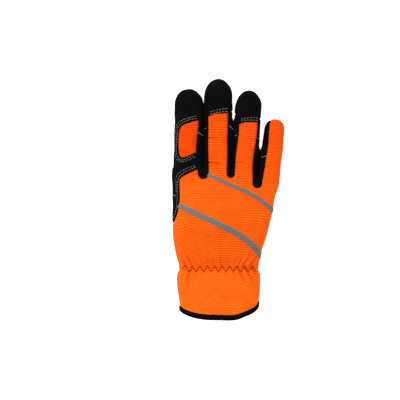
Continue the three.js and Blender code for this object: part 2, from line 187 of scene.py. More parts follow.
@dataclass(frozen=True)
class Oval:
    """The cross-section of a hollow form: as square as full says, above and below its rim."""

    full_top: float
    full_bottom: float

    def distance(
        self, side: Array, height: Array, half: Array, top: Array, bottom: Array, end: Array
    ) -> Array:
        """Distance from a flattened oval with rounded ends.

        With u = |side| / half and v = |height| / top or bottom, r is the nth root of u^n + v^n, and R is
        the square root of r^2 + end^2. The distance is (R - 1) over the length of R's gradient.

        Args:
            side: place across the form.
            height: place above its rim.
            half: its half width there.
            top: how far it reaches above the rim.
            bottom: how far it reaches below the rim.
            end: how far into a rounded end the point is, as a share of the end's length.

        Returns:
            The distance outside the form, negative inside it.
        """
        above = height >= 0
        power = np.where(above, self.full_top, self.full_bottom)
        rise = np.where(above, top, bottom)
        u = np.abs(side) / half + 1e-6
        v = np.abs(height) / rise + 1e-6
        round_part = (u**power + v**power) ** (1.0 / power)
        slope_u = (u / round_part) ** (power - 1.0) / half
        slope_v = (v / round_part) ** (power - 1.0) / rise
        whole = np.sqrt(round_part**2 + end**2)
        slope = (round_part / whole) * np.sqrt(slope_u**2 + slope_v**2) + 1e-9
        return (whole - 1.0) / slope


@dataclass(frozen=True)
class Section:
    """One cross-section of the hand: its plan edges, its rim's height, and its reach above and below."""

    y: float
    left: float
    right: float
    rim: float
    top: float
    bottom: float


@dataclass(frozen=True)
class Finger:
    """A finger: its middle line from base to tip in plan, its half widths, and its round end's length."""

    name: str
    base: tuple[float, float]
    tip: tuple[float, float]
    half_base: float
    half_end: float
    round_end: float

    @property
    def along(self) -> Array:
        """Unit vector from base to tip."""
        line = np.subtract(self.tip, self.base)
        return line / np.hypot(*line)

    @property
    def body(self) -> float:
        """Length from the base to where the round end begins."""
        return float(np.hypot(*np.subtract(self.tip, self.base))) - self.round_end

    def place(self, points: Array) -> tuple[Array, Array]:
        """Where points lie along the finger and across it."""
        offset = points[:, :2] - np.array(self.base)
        far = offset @ self.along
        side = offset @ np.array([self.along[1], -self.along[0]])
        return far, side

    def edge(self, y: Array, sign: float) -> Array:
        """The plan position of one side of the finger, on its way from base to tip."""
        share = (y - self.base[1]) / (self.tip[1] - self.base[1])
        middle = self.base[0] + share * (self.tip[0] - self.base[0])
        return middle + sign * (self.half_base + np.clip(share, 0, 1) * (self.half_end - self.half_base))


FINGERS = {
    "index": Finger("index", (-42.1, 0), (-40.8, 114.6), 15.0, 14.3, 16),
    "middle": Finger("middle", (-11.6, 0), (-10.2, 125), 14.2, 14.3, 19),
    "ring": Finger("ring", (14.9, 0), (21.7, 113), 13.0, 13.3, 18),
    "little": Finger("little", (38.9, 0), (49.3, 83.8), 11.5, 10.6, 12),
}


def between_fingers(y: Array) -> list[Array]:
    """The plan lines halfway between neighbouring fingers."""
    fingers = list(FINGERS.values())
    return [(one.edge(y, 1.0) + other.edge(y, -1.0)) / 2 for one, other in zip(fingers[:-1], fingers[1:])]


@dataclass(frozen=True)
class GloveForm:
    """The glove's outer skin as distances, in the same sections as the CAD part's."""

    sections: tuple[Section, ...] = (
        Section(-136, -49.0, 30.2, 12.4, 14.5, 11.6),
        Section(-109, -50.6, 31.2, 12.4, 14.7, 11.6),
        Section(-88, -53.0, 32.6, 12.0, 14.4, 11.2),
        Section(-78, -52.4, 32.3, 11.6, 12.8, 10.4),
        Section(-70, -51.0, 31.0, 11.0, 10.8, 9.4),
        Section(-65, -51.0, 30.9, 11.0, 10.8, 9.2),
        Section(-60, -52.8, 32.0, 11.3, 12.0, 9.2),
        Section(-52, -55.6, 34.6, 12.0, 14.0, 9.8),
        Section(-40, -57.1, 38.6, 13.0, 15.6, 10.8),
        Section(-14, -57.6, 45.2, 13.0, 15.4, 10.8),
        Section(10, -57.6, 48.8, 11.6, 12.4, 9.0),
        Section(24, -57.2, 51.3, 10.2, 8.8, 7.4),
    )
    hand_oval: Oval = Oval(2.35, 3.2)
    finger_oval: Oval = Oval(2.2, 2.7)
    thumb_oval: Oval = Oval(2.2, 2.6)
    web_reach: float = 8.0
    skew: float = -0.13
    skew_from: float = -20.0
    skew_to: float = 24.0
    skew_about: float = -3.0
    finger_share: Row = (0.0, 0.28, 0.48, 0.75, 1.0)
    finger_rim: Row = (10.8, 9.6, 8.6, 7.6, 7.1)
    finger_top: Row = (7.6, 7.9, 8.2, 8.0, 7.6)
    finger_bottom: Row = (7.6, 7.6, 7.6, 7.5, 7.2)
    finger_root: float = 26.0
    finger_blend: float = 3.4
    tip_droop: float = 0.35
    thumb_line: Plan = row(-33, -72, -34, -60, -33, -47, -29, -34, -20.5, -14, -10.5, 4, -5.5, 12)
    thumb_half: Row = (8.0, 14.6, 17.3, 16.8, 15.2, 14.2, 13.2)
    thumb_rim: Row = (12.0, 10.6, 8.2, 6.6, 5.6, 5.3, 5.1)
    thumb_top: Row = (5.0, 7.6, 7.0, 6.0, 5.2, 5.0, 4.8)
    thumb_bottom: Row = (6.0, 8.8, 8.0, 6.6, 5.6, 5.3, 5.1)
    thumb_end: float = 13.0
    thumb_start: float = 4.0
    thumb_start_round: float = 6.0
    lift_height: float = 11.6
    lift_flat: float = 6.0
    lift_fade: float = 36.0
    lift_back: float = 0.6
    lift_range: float = 28.0
    lift_from: float = -50.0
    lift_to: float = -26.0
    touching: tuple[tuple[str, str, float], ...] = (
        ("index", "middle", 99.0),
        ("middle", "ring", 83.0),
        ("ring", "little", 53.0),
    )
    touch_fade: float = 3.0
    clearance: float = 0.16
    press: float = 0.12
    web_y: float = 27.0
    core_of_hand: float = 12.4
    core_of_tips: float = 7.8
    above_all: float = 45.0
    below_all: float = -6.0

    def lift(self, x: Array, y: Array) -> Array:
        """How high the folded thumb carries the palm: full over its middle line, fading out beside it."""
        nearest = to_line(x, y, np.array(self.thumb_line[3:], float))
        near = 1.0 - smooth((nearest - self.lift_flat) / self.lift_fade)
        return self.lift_height * near * smooth((y - self.lift_from) / (self.lift_to - self.lift_from))

    def flat_height(self, points: Array) -> Array:
        """The height that a carried point had before the thumb lifted it."""
        raised = self.lift(points[:, 0], points[:, 1])
        height = points[:, 2]
        squeezed = (height - raised) / (1.0 - self.lift_back * raised / self.lift_range)
        beyond = height - raised * (1.0 - self.lift_back)
        return np.where(height < raised, height - raised, np.minimum(squeezed, beyond))

    def carried(self, x: Array, y: Array, height: Array) -> Array:
        """The height that a flat height has once the thumb has lifted it."""
        raised = self.lift(x, y)
        return raised + height * (1.0 - self.lift_back * raised / self.lift_range)

    def section(self, y: Array, name: str) -> Array:
        """One measure of the hand's sections, read smoothly along the hand."""
        values = [getattr(each, name) for each in self.sections]
        return along_table(y, [each.y for each in self.sections], values)

    def hand(self, points: Array, height: Array) -> Array:
        """Distance from the hand without fingers, whose web runs lower towards the little finger."""
        turn = self.skew * smooth((points[:, 1] - self.skew_from) / (self.skew_to - self.skew_from))
        y = points[:, 1] - turn * (points[:, 0] - self.skew_about)
        left, right = self.section(y, "left"), self.section(y, "right")
        return self.hand_oval.distance(
            points[:, 0] - (left + right) / 2,
            height - self.section(y, "rim"),
            (right - left) / 2,
            self.section(y, "top"),
            self.section(y, "bottom"),
            np.clip((y - self.sections[-1].y) / self.web_reach, 0.0, None),
        )

    def finger(self, finger: Finger, points: Array, height: Array) -> Array:
        """Distance from one finger, rounded at its tip and drawn in at its root."""
        far, side = finger.place(points)
        share = np.clip(far / finger.body, 0.0, 1.0)
        end = np.clip((far - finger.body) / finger.round_end, 0.0, None)
        root = np.clip((self.finger_root - far) / self.finger_root, 0.0, None)
        droop = 1.0 - self.tip_droop * np.clip(end, 0, 1) ** 2
        half = finger.half_base + share * (finger.half_end - finger.half_base)
        return self.finger_oval.distance(
            side,
            height - along_table(share, self.finger_share, self.finger_rim) * droop,
            half + self.pressed(finger, points, side),
            along_table(share, self.finger_share, self.finger_top),
            along_table(share, self.finger_share, self.finger_bottom),
            end + root,
        )

    def pressed(self, finger: Finger, points: Array, side: Array) -> Array:
        """How much wider a finger is where it presses on its neighbour: half the gap less the clearance."""
        total = np.zeros(len(points))
        y = points[:, 1]
        for left, right, touch_y in self.touching:
            if finger.name not in (left, right):
                continue
            gap = FINGERS[right].edge(y, -1.0) - FINGERS[left].edge(y, 1.0)
            fade = smooth((touch_y + self.touch_fade - y) / (2 * self.touch_fade))
            swell = np.clip(gap / 2 - self.clearance, 0.0, None) * fade
            total += np.where(side > 0 if finger.name == left else side < 0, swell, 0.0)
        return total

    def room(self, points: Array) -> Array:
        """How far a place may move sideways before it meets the next finger; endless on the hand."""
        away = [np.abs(points[:, 0] - line) for line in between_fingers(points[:, 1])]
        return np.where(points[:, 1] > self.web_y, np.minimum.reduce(away) + self.press, np.inf)

    def drop(self, plan: Array, from_back: bool = True) -> Array:
        """Puts plan places on the skin, seen from above or below."""
        x, y = plan[:, 0], plan[:, 1]
        core = self.core_of_hand - (self.core_of_hand - self.core_of_tips) * smooth((y - 10.0) / 60.0)
        outside = np.full(len(x), self.above_all if from_back else self.below_all)
        return halve(self.carried(x, y, core), outside, lambda z: np.stack([x, y, z], axis=1), self.skin)

    def skin(self, points: Array) -> Array:
        """Distance from the hand with its fingers, blended at the knuckles."""
        height = self.flat_height(points)
        fingers = np.minimum.reduce([self.finger(each, points, height) for each in FINGERS.values()])
        return soft_min(self.hand(points, height), fingers, self.finger_blend)

    def thumb_place(self, points: Array) -> tuple[Array, Array, Array]:
        """Where points lie along the thumb's line, across it, and past its last section."""
        line = np.array(self.thumb_line, float)
        y = points[:, 1]
        last = (line[-1] - line[-2]) / np.hypot(*(line[-1] - line[-2]))
        past_y = np.clip(y - line[-1, 1], 0.0, None)
        middle = np.interp(y, line[:, 1], line[:, 0]) + past_y * last[0] / last[1]
        lean = np.interp(y, line[:, 1], np.gradient(line[:, 0], line[:, 1]))
        side = (points[:, 0] - middle) / np.sqrt(1.0 + lean**2)
        past = np.clip((points[:, :2] - line[-1]) @ last, 0.0, None)
        return np.interp(y, line[:, 1], far_along(line)), side, past

    def thumb(self, points: Array) -> Array:
        """Distance from the folded thumb."""
        along, side, past = self.thumb_place(points)
        far = far_along(np.array(self.thumb_line, float))
        before = np.clip(self.thumb_line[0][1] + self.thumb_start - points[:, 1], 0.0, None)
        return self.thumb_oval.distance(
            side,
            points[:, 2] - along_table(along, far, self.thumb_rim),
            along_table(along, far, self.thumb_half),
            along_table(along, far, self.thumb_top),
            along_table(along, far, self.thumb_bottom),
            past / self.thumb_end + before / self.thumb_start_round,
        )


FORM = GloveForm()


def slope_of(distance: Field, points: Array, step: float = 0.05) -> Array:
    """The gradient of a distance at some points, from central differences."""
    columns = []
    for axis in np.eye(3) * step:
        columns.append((distance(points + axis) - distance(points - axis)) / (2 * step))
    return np.stack(columns, axis=1)


def outward(distance: Field, points: Array) -> Array:
    """Unit vectors pointing away from a form."""
    slope = slope_of(distance, points)
    return slope / (np.linalg.norm(slope, axis=1, keepdims=True) + 1e-9)


def settle(distance: Field, points: Array, rounds: int = 2) -> Array:
    """Moves points onto a form's surface along its gradient, by Newton's steps."""
    for _ in range(rounds):
        slope = slope_of(distance, points)
        points = points - slope * (distance(points) / ((slope**2).sum(axis=1) + 1e-9))[:, None]
    return points


def edges_of(faces: Array) -> Array:
    """The three edges of every face, as pairs of points."""
    return np.concatenate([faces[:, [0, 1]], faces[:, [1, 2]], faces[:, [2, 0]]])


@dataclass
class Sheet:
    """A triangle mesh in millimetres, before it becomes a Blender object."""

    points: Array
    faces: Array

    def compact(self) -> "Sheet":
        """The mesh without points that no face uses."""
        used, faces = np.unique(self.faces, return_inverse=True)
        return Sheet(self.points[used], faces.reshape(-1, 3))

    def where(self, values: Array) -> "Sheet":
        """Keeps what lies where values are at least zero, cutting straight through faces between points.

        Args:
            values: one number for each point.

        Returns:
            The kept part. An edge from a to b is cut at a / (a - b) of its length.
        """
        inside = values >= 0
        count = inside[self.faces].sum(axis=1)

        def odd_first(faces: Array, odd: Array) -> Array:
            """Turns each face so that its odd corner comes first."""
            first = np.argmax(odd[faces], axis=1)
            return faces[np.arange(len(faces))[:, None], (first[:, None] + np.arange(3)) % 3]

        one = odd_first(self.faces[count == 1], inside)
        two = odd_first(self.faces[count == 2], ~inside)
        edges = np.concatenate([one[:, [0, 1]], one[:, [0, 2]], two[:, [0, 1]], two[:, [0, 2]]])
        unique, place = np.unique(np.sort(edges, axis=1), axis=0, return_inverse=True)
        start, end = unique[:, 0], unique[:, 1]
        share = values[start] / (values[start] - values[end])
        cut = self.points[start] + (self.points[end] - self.points[start]) * share[:, None]
        index = len(self.points) + place.reshape(-1)
        first, second, third, fourth = np.split(index, np.cumsum([len(one), len(one), len(two)]))
        faces = np.concatenate(
            [
                self.faces[count == 3],
                np.stack([one[:, 0], first, second], axis=1),
                np.stack([third, two[:, 1], two[:, 2]], axis=1),
                np.stack([third, two[:, 2], fourth], axis=1),
            ]
        )
        return Sheet(np.concatenate([self.points, cut]), faces).compact()

    def edge_distance(self, reach: float, rounds: int = 14) -> Array:
        """Each point's distance to the mesh's open edge, walked along its edges for some rounds."""
        unique, count = np.unique(np.sort(edges_of(self.faces), axis=1), axis=0, return_counts=True)
        start, end = unique[:, 0], unique[:, 1]
        far = np.full(len(self.points), reach)
        far[unique[count == 1].ravel()] = 0.0
        length = np.linalg.norm(self.points[start] - self.points[end], axis=1)
        for _ in range(rounds):
            before = far.copy()
            np.minimum.at(far, start, before[end] + length)
            np.minimum.at(far, end, before[start] + length)
        return far

    def walled(
        self, name: str, way: Array, outer: Array, inner: Array, lowest: float, weave: Array
    ) -> Mesh:
        """Makes a closed wall: an outer and an inner layer of the mesh, joined round its open edges.

        Args:
            name: the wall's name.
            way: for each point, the direction in which the layers stand off.
            outer: how far the outer layer stands off.
            inner: how far the inner layer does.
            lowest: the least height of the inner layer. The outer one's is 0.
            weave: what to_mesh keeps for each point.

        Returns:
            The wall as a Blender mesh.
        """
        layers = []
        for off, least in ((outer, 0.0), (inner, lowest)):
            layer = self.points + way * off[:, None]
            layer[:, 2] = np.maximum(layer[:, 2], least)
            layers.append(layer)
        count = len(self.points)
        edges = edges_of(self.faces)
        _, place, uses = np.unique(np.sort(edges, axis=1), axis=0, return_inverse=True, return_counts=True)
        rim = edges[uses[place.reshape(-1)] == 1]
        near = np.stack([rim[:, 1], rim[:, 0], rim[:, 0] + count], axis=1)
        far = np.stack([rim[:, 1], rim[:, 0] + count, rim[:, 1] + count], axis=1)
        faces = np.concatenate([self.faces, self.faces[:, ::-1] + count, near, far])
        return to_mesh(name, np.concatenate(layers), faces, np.concatenate([weave, weave]))


def mesh_field(distance: Field, low: Array, high: Array, step: Array) -> Sheet:
    """Meshes where a distance is zero, with one point in each grid cell that the surface crosses.

    A cell's point is the mean of where its twelve edges cross zero, and each grid edge that crosses zero
    becomes a quad of the four cells round it.

    Args:
        distance: the distance to mesh.
        low: the grid's lowest corner.
        high: its highest corner.
        step: its cell size along each axis.

    Returns:
        The surface, with its faces pointing outwards.
    """
    axes = [np.arange(a, b + s, s) for a, b, s in zip(low, high, step)]
    shape = tuple(len(axis) for axis in axes)
    grid = np.stack(np.meshgrid(*axes, indexing="ij"), axis=-1)
    values = distance(grid.reshape(-1, 3)).reshape(shape)
    cells = tuple(size - 1 for size in shape)
    total = np.zeros(cells + (3,))
    count = np.zeros(cells)
    crossings = []
    for axis in range(3):
        start = np.take(values, np.arange(shape[axis] - 1), axis)
        end = np.take(values, np.arange(1, shape[axis]), axis)
        crossed = (start < 0) != (end < 0)
        share = np.where(crossed, start / np.where(crossed, start - end, 1.0), 0.0)
        place = np.take(grid, np.arange(shape[axis] - 1), axis).copy()
        place[..., axis] += share * step[axis]
        place *= crossed[..., None]
        others = [(axis + 1) % 3, (axis + 2) % 3]
        for shift in ((0, 0), (1, 0), (0, 1), (1, 1)):
            window = [slice(None)] * 3
            for other, by in zip(others, shift):
                window[other] = slice(by, by + cells[other])
            total += place[tuple(window)]
            count += crossed[tuple(window)]
        crossings.append((axis, others, crossed, start < 0))
    active = count > 0
    number = np.full(cells, -1)
    number[active] = np.arange(active.sum())
    points = total[active] / count[active][:, None]
    quads = []
    for axis, others, crossed, outwards in crossings:
        window = [slice(None)] * 3
        for other in others:
            window[other] = slice(1, cells[other])
        place = np.argwhere(crossed[tuple(window)])
        ahead = outwards[tuple(window)][tuple(place.T)]
        corners = []
        for shift in ((0, 0), (1, 0), (1, 1), (0, 1)):
            moved = place.copy()
            for other, by in zip(others, shift):
                moved[:, other] += by
            corners.append(number[tuple(moved.T)])
        quad = np.stack(corners, axis=1)
        quads.append(np.where(ahead[:, None], quad, quad[:, ::-1]))
    quad = np.concatenate(quads)
    corner = points[quad]
    first = np.linalg.norm(corner[:, 0] - corner[:, 2], axis=1)
    second = np.linalg.norm(corner[:, 1] - corner[:, 3], axis=1)
    turned = np.where((first <= second)[:, None], quad, np.roll(quad, -1, axis=1))
    faces = np.concatenate([turned[:, [0, 1, 2]], turned[:, [0, 2, 3]]])
    return Sheet(points, faces)


@dataclass(frozen=True)
class FingerGaps:
    """Opens the narrow gaps between fingers while the skin is meshed, so that no cell spans one."""

    extra: float = 4.6
    slit: float = 0.15
    start_y: float = 8.0
    end_y: float = 24.0

    def close(self, points: Array) -> Array:
        """Takes points from the opened space back to the real one, squeezing each gap to its slit."""
        x = points[:, 0]
        opened = self.extra * smooth((points[:, 1] - self.start_y) / (self.end_y - self.start_y))
        real = x.copy()
        for number, line in enumerate(between_fingers(points[:, 1])):
            start = line - self.slit + number * opened
            real -= opened * np.clip((x - start) / (2 * self.slit + opened), 0.0, 1.0)
        return np.stack([real, points[:, 1], points[:, 2]], axis=1)


def inside_outline(points: Array, outline: Array | Plan) -> Array:
    """Plan distance of points inside a closed outline, negative outside it.

    The distance to the nearest edge is signed by whether a ray along +X crosses the outline an odd number
    of times.
    """
    x, y = points[:, 0], points[:, 1]
    line = np.array([*outline, outline[0]], float)
    odd = np.zeros(len(points), bool)
    for start, end in zip(line[:-1], line[1:]):
        rise = (end[1] - start[1]) or 1.0
        crosses = (start[1] > y) != (end[1] > y)
        odd ^= crosses & (x < start[0] + (end[0] - start[0]) * (y - start[1]) / rise)
    nearest = to_line(x, y, line)
    return np.where(odd, nearest, -nearest)


def within(outline: Array | Plan) -> Field:
    """A field that is positive inside a plan outline."""
    return lambda points: inside_outline(points, outline)


def between(t: Array, start: float, end: float, first: Array, second: Array) -> Array:
    """Runs from one place to another while t runs from start to end."""
    return ((end - t) * first + (t - start) * second) / (end - start)


def curve_through(corners: Array | Plan, spacing: float = 1.0, closed: bool = False) -> Array:
    """A smooth plan line through points, as a centripetal Catmull-Rom spline.

    Args:
        corners: the points it passes.
        spacing: about how far apart its samples are.
        closed: whether it runs back to its start.

    Returns:
        Its samples, evenly spaced.
    """
    knots = np.asarray(corners, float)
    if closed:
        knots = np.concatenate([knots[-1:], knots, knots[:2]])
    else:
        knots = np.concatenate([2 * knots[:1] - knots[1:2], knots, 2 * knots[-1:] - knots[-2:-1]])
    pieces = []
    for p0, p1, p2, p3 in zip(knots[:-3], knots[1:-2], knots[2:-1], knots[3:]):
        chords = np.diff(np.stack([p0, p1, p2, p3]), axis=0)
        t0, t1, t2, t3 = np.concatenate([[0.0], np.cumsum(np.linalg.norm(chords, axis=1) ** 0.5 + 1e-9)])
        t = np.linspace(t1, t2, 24)[:, None]
        a1, a2, a3 = between(t, t0, t1, p0, p1), between(t, t1, t2, p1, p2), between(t, t2, t3, p2, p3)
        b1, b2 = between(t, t0, t2, a1, a2), between(t, t1, t3, a2, a3)
        pieces.append(between(t, t1, t2, b1, b2)[:-1])
    line = np.concatenate(pieces + [knots[-2:-1]])
    length = far_along(line)
    even = np.linspace(0.0, length[-1], max(3, round(length[-1] / spacing) + 1))
    return np.stack([np.interp(even, length, column) for column in line.T], axis=1)


def beside(line: Array, offset: float) -> Array:
    """A plan line moved sideways: positive to its right."""
    way = np.gradient(line, axis=0)
    way /= np.linalg.norm(way, axis=1, keepdims=True)
    return line + offset * np.stack([way[:, 1], -way[:, 0]], axis=1)


def rounded(corners: Plan, radius: float) -> Array:
    """A closed outline with its corners cut back to quadratic bends."""
    corner = np.asarray(corners, float)
    bends = []
    t = np.linspace(0.0, 1.0, 7)[:, None]
    for before, at, after in zip(np.roll(corner, 1, axis=0), corner, np.roll(corner, -1, axis=0)):
        start = at + (before - at) * min(0.48, radius / np.linalg.norm(before - at))
        end = at + (after - at) * min(0.48, radius / np.linalg.norm(after - at))
        bends.append((1 - t) ** 2 * start + 2 * t * (1 - t) * at + t**2 * end)
    return np.concatenate(bends)


def ripple(points: Array, scale: float, seed: int) -> Array:
    """Gentle unevenness between about -1 and 1: the mean of six sine waves in fixed random directions."""
    rng = np.random.default_rng(seed)
    total = np.zeros(len(points))
    for _ in range(6):
        way = rng.normal(size=3)
        way *= 2 * math.pi / (scale * rng.uniform(0.7, 1.5) * np.linalg.norm(way))
        total += np.sin(points @ way + rng.uniform(0, 2 * math.pi))
    return total / 3.0


@dataclass(frozen=True)
class Fold:
    """A crease or gather: a line across the back in plan, its depth, and how wide it is."""

    start_x: float
    start_y: float
    end_x: float
    end_y: float
    depth: float
    width: float

    def height(self, points: Array) -> Array:
        """A valley along the line with a low ridge on either side, tapering towards its ends.

        Its height is -depth (1 - 1.5 u^2) exp(-u^2), with u the distance across it over its width.
        """
        way = np.array([self.end_x - self.start_x, self.end_y - self.start_y])
        length = np.hypot(*way)
        offset = points[:, :2] - np.array([self.start_x, self.start_y])
        share = (offset @ way) / length**2
        across = (offset @ np.array([way[1], -way[0]])) / length
        fade = smooth((share + 0.35) / 0.35) * smooth((1.15 - share) / 0.8)
        near = (across / (self.width * (1 + 0.4 * np.clip(share, 0, 1)))) ** 2
        return -self.depth * fade * (1 - 1.5 * near) * np.exp(-near)


@dataclass(frozen=True)
class Relief:
    """What stands out of the plain skin: the knit's ribs, the wrist's gathers and small creases."""

    rib_pitch: float = 2.35
    rib_height: float = 0.15
    rib_tilt: float = 0.0014
    arch_middle: float = -3.0
    arch_half: float = 45.0
    arch_on_hand: float = 6.0
    arch_in_cuff: float = 8.0
    sway: float = 0.8
    sway_length: float = 46.0
    elastic_y: float = -71.0
    pinch: float = 0.7
    pinch_width: float = 2.6
    puff_above: float = 0.9
    puff_below: float = 0.7
    puff_away: float = 9.0
    puff_width: float = 6.5
    sag: float = 0.35
    sag_length: float = 30.0
    under_leather: float = 0.5
    # How much the knit's colour deepens: painted shade at the elastic, above the cuff and in the folds'
    # valleys; a deeper tone on the fingers and in the index window.
    shade_at_elastic: float = 0.1
    shade_above_cuff: float = 0.18
    deep_on_finger: float = 0.24
    deep_in_window: float = 0.2
    shade_in_folds: float = 0.26
    gathers: tuple[Fold, ...] = (
        Fold(-38.0, -67.5, -45.5, -53.0, 1.3, 1.6),
        Fold(-43.0, -69.5, -49.0, -59.0, 1.15, 1.5),
        Fold(-33.0, -67.5, -37.5, -58.0, 0.72, 1.24),
        Fold(-27.5, -67.0, -29.0, -60.0, 0.56, 1.19),
        Fold(-22.0, -67.0, -21.5, -60.0, 0.56, 1.19),
        Fold(-15.0, -67.0, -15.5, -58.0, 0.72, 1.19),
        Fold(-8.2, -67.0, -8.0, -54.0, 0.96, 1.19),
        Fold(0.0, -67.0, 1.0, -59.0, 0.64, 1.19),
        Fold(6.0, -67.0, 8.5, -58.0, 0.64, 1.19),
        Fold(10.5, -68.0, 15.5, -56.0, 0.8, 1.24),
        Fold(15.0, -68.0, 22.5, -56.5, 1.2, 1.5),
        Fold(21.5, -69.0, 29.5, -58.5, 1.2, 1.6),
        Fold(-39.5, -73.5, -44.5, -88.0, 1.5, 1.9),
        Fold(-45.0, -73.5, -48.5, -84.0, 1.0, 1.5),
        Fold(-33.0, -74.0, -35.5, -84.0, 0.64, 1.24),
        Fold(-26.0, -74.5, -29.5, -83.0, 0.72, 1.19),
        Fold(-19.0, -74.5, -20.5, -81.0, 0.56, 1.19),
        Fold(-11.5, -74.5, -12.0, -80.5, 0.56, 1.19),
        Fold(-3.2, -74.0, -3.2, -83.0, 0.88, 1.19),
        Fold(4.5, -74.0, 6.5, -81.5, 0.64, 1.19),
        Fold(11.0, -73.0, 18.0, -87.0, 1.5, 1.7),
        Fold(18.5, -72.5, 26.5, -87.0, 1.5, 1.8),
        Fold(25.0, -72.0, 31.0, -81.5, 1.2, 1.6),
    )
    creases: tuple[Fold, ...] = (
        Fold(-21, 38.4, -4, 36.6, 1.2, 1.7),
        Fold(-20, 63.2, -5, 62.2, 0.9, 1.8),
        Fold(-34.5, 62.0, -35.5, 50.0, 1.0, 2.6),
        Fold(-50, 49.5, -40, 46.5, 0.7, 1.6),
        Fold(9, 38.5, 20, 37.5, 0.6, 1.6),
        Fold(22, 63.0, 30, 60.0, 0.6, 1.8),
        Fold(36, 34.0, 52, 32.0, 0.4, 1.9),
        Fold(6, -18.0, 36, -32.0, 0.25, 5.0),
        Fold(-44, -30.0, -16, -38.0, 0.25, 5.0),
    )

    def course(self, points: Array) -> Array:
        """Place across the ribs: along the hand, tilted with the outer fingers and arched in the cuff."""
        x, y = points[:, 0], points[:, 1]
        tilt = self.rib_tilt * np.clip(x + 12, 0, None) ** 2 * smooth((y + 25) / 60)
        bow = self.arch_on_hand * smooth((6 - y) / 50) + self.arch_in_cuff * smooth((-66 - y) / 20)
        arch = ((x - self.arch_middle) / self.arch_half) ** 2 * bow
        return y + tilt + arch + self.sway * ripple(points * np.array([1, 1, 0]), self.sway_length, 3)

    def folds(self, points: Array) -> Array:
        """Height of all gathers and creases."""
        gathers = sum(fold.height(points) for fold in self.gathers)
        return gathers + sum(fold.height(points) for fold in self.creases)

    def cloth(self, points: Array) -> Array:
        """Height of the knit over the plain skin, without its ribs."""
        at = points[:, 1] - self.elastic_y
        above = self.puff_above * bell(at - self.puff_away, self.puff_width)
        below = self.puff_below * bell(at + self.puff_away, self.puff_width)
        pinch = self.pinch * bell(at + 1.0, self.pinch_width)
        return above + below - pinch + self.folds(points) + self.sag * ripple(points, self.sag_length, 11)

    def shade_and_tone(self, points: Array) -> Array:
        """How much the knit's colour is deepened: painted shade in the folds' valleys (paler on their
        ridges), at the elastic's pinch and from the elastic up over the hand, and a deeper tone on the
        fingers and in the index window.
        """
        y = points[:, 1]
        on_finger = smooth((y - 10.0) / 35.0)
        window = on_finger * smooth((-24.0 - points[:, 0]) / 8.0)
        # Painted shade at the elastic's pinch and from the elastic up, then painted shade in the fold
        # valleys.
        low = self.shade_at_elastic * bell(y - self.elastic_y, 5.0)
        low += self.shade_above_cuff * smooth((y + 78.0) / 14.0)
        high = self.deep_on_finger * on_finger + self.deep_in_window * window
        return np.clip(low + high - self.shade_in_folds * self.folds(points), 0.0, 1.0)

    def ribs(self, course: Array) -> Array:
        """The knit's ribs: a cosine across the courses."""
        return self.rib_height * np.cos(2 * math.pi * course / self.rib_pitch)

    def leather(self, points: Array) -> Array:
        """Height of the leather over the plain skin: soft unevenness, and a share of the cloth's."""
        uneven = 0.3 * ripple(points, 24.0, 17) + 0.12 * ripple(points, 9.0, 23)
        return uneven + self.under_leather * self.cloth(points)


RELIEF = Relief()


def to_mesh(name: str, points: Array, faces: Array, weave: Array, sharp: float = 48.0) -> Mesh:
    """Makes a Blender mesh from millimetre points and faces.

    Args:
        name: the mesh's name.
        points: its points.
        faces: its faces, one row each.
        weave: for each point, its place across and along the weave, its distance from the panel's edge, and
        how much painted shade and deeper tone the knit gets there, from 0 to 1.
        sharp: the angle between faces, in degrees, past which their shared edge stays sharp.

    Returns:
        The mesh, in metres.
    """
    mesh = bpy.data.meshes.new(name)
    mesh.from_pydata((points * MM).tolist(), [], faces.tolist())
    attribute = mesh.attributes.new("weave", "FLOAT_VECTOR", "POINT")
    attribute.data.foreach_set("vector", (weave[:, :3] * MM).astype(np.float32).ravel())
    # Painted shade (folds, elastic) and deeper tone (fingers) for the knit's colour, kept at each point.
    shade_and_tone = mesh.attributes.new("shade_and_tone", "FLOAT", "POINT")
    shade_and_tone.data.foreach_set("value", weave[:, 3].astype(np.float32))
    made = bmesh.new()
    made.from_mesh(mesh)
    bmesh.ops.remove_doubles(made, verts=made.verts, dist=2e-6)
    bmesh.ops.dissolve_degenerate(made, edges=made.edges, dist=1e-7)
    made.to_mesh(mesh)
    made.free()
    mesh.polygons.foreach_set("use_smooth", np.ones(len(mesh.polygons), bool))
    mesh.set_sharp_from_angle(angle=math.radians(sharp))
    mesh.update()
    return mesh


def grid_faces(rows: int, columns: int, around_rows: bool = False) -> Array:
    """Triangles of a grid of points whose columns close into a ring, and whose rows may too."""
    last = rows if around_rows else rows - 1
    row, column = np.meshgrid(np.arange(last), np.arange(columns), indexing="ij")
    here = row * columns + column
    right = row * columns + (column + 1) % columns
    up = ((row + 1) % rows) * columns + column
    across = ((row + 1) % rows) * columns + (column + 1) % columns
    first = np.stack([here, right, across], axis=-1).reshape(-1, 3)
    second = np.stack([here, across, up], axis=-1).reshape(-1, 3)
    return np.concatenate([first, second])


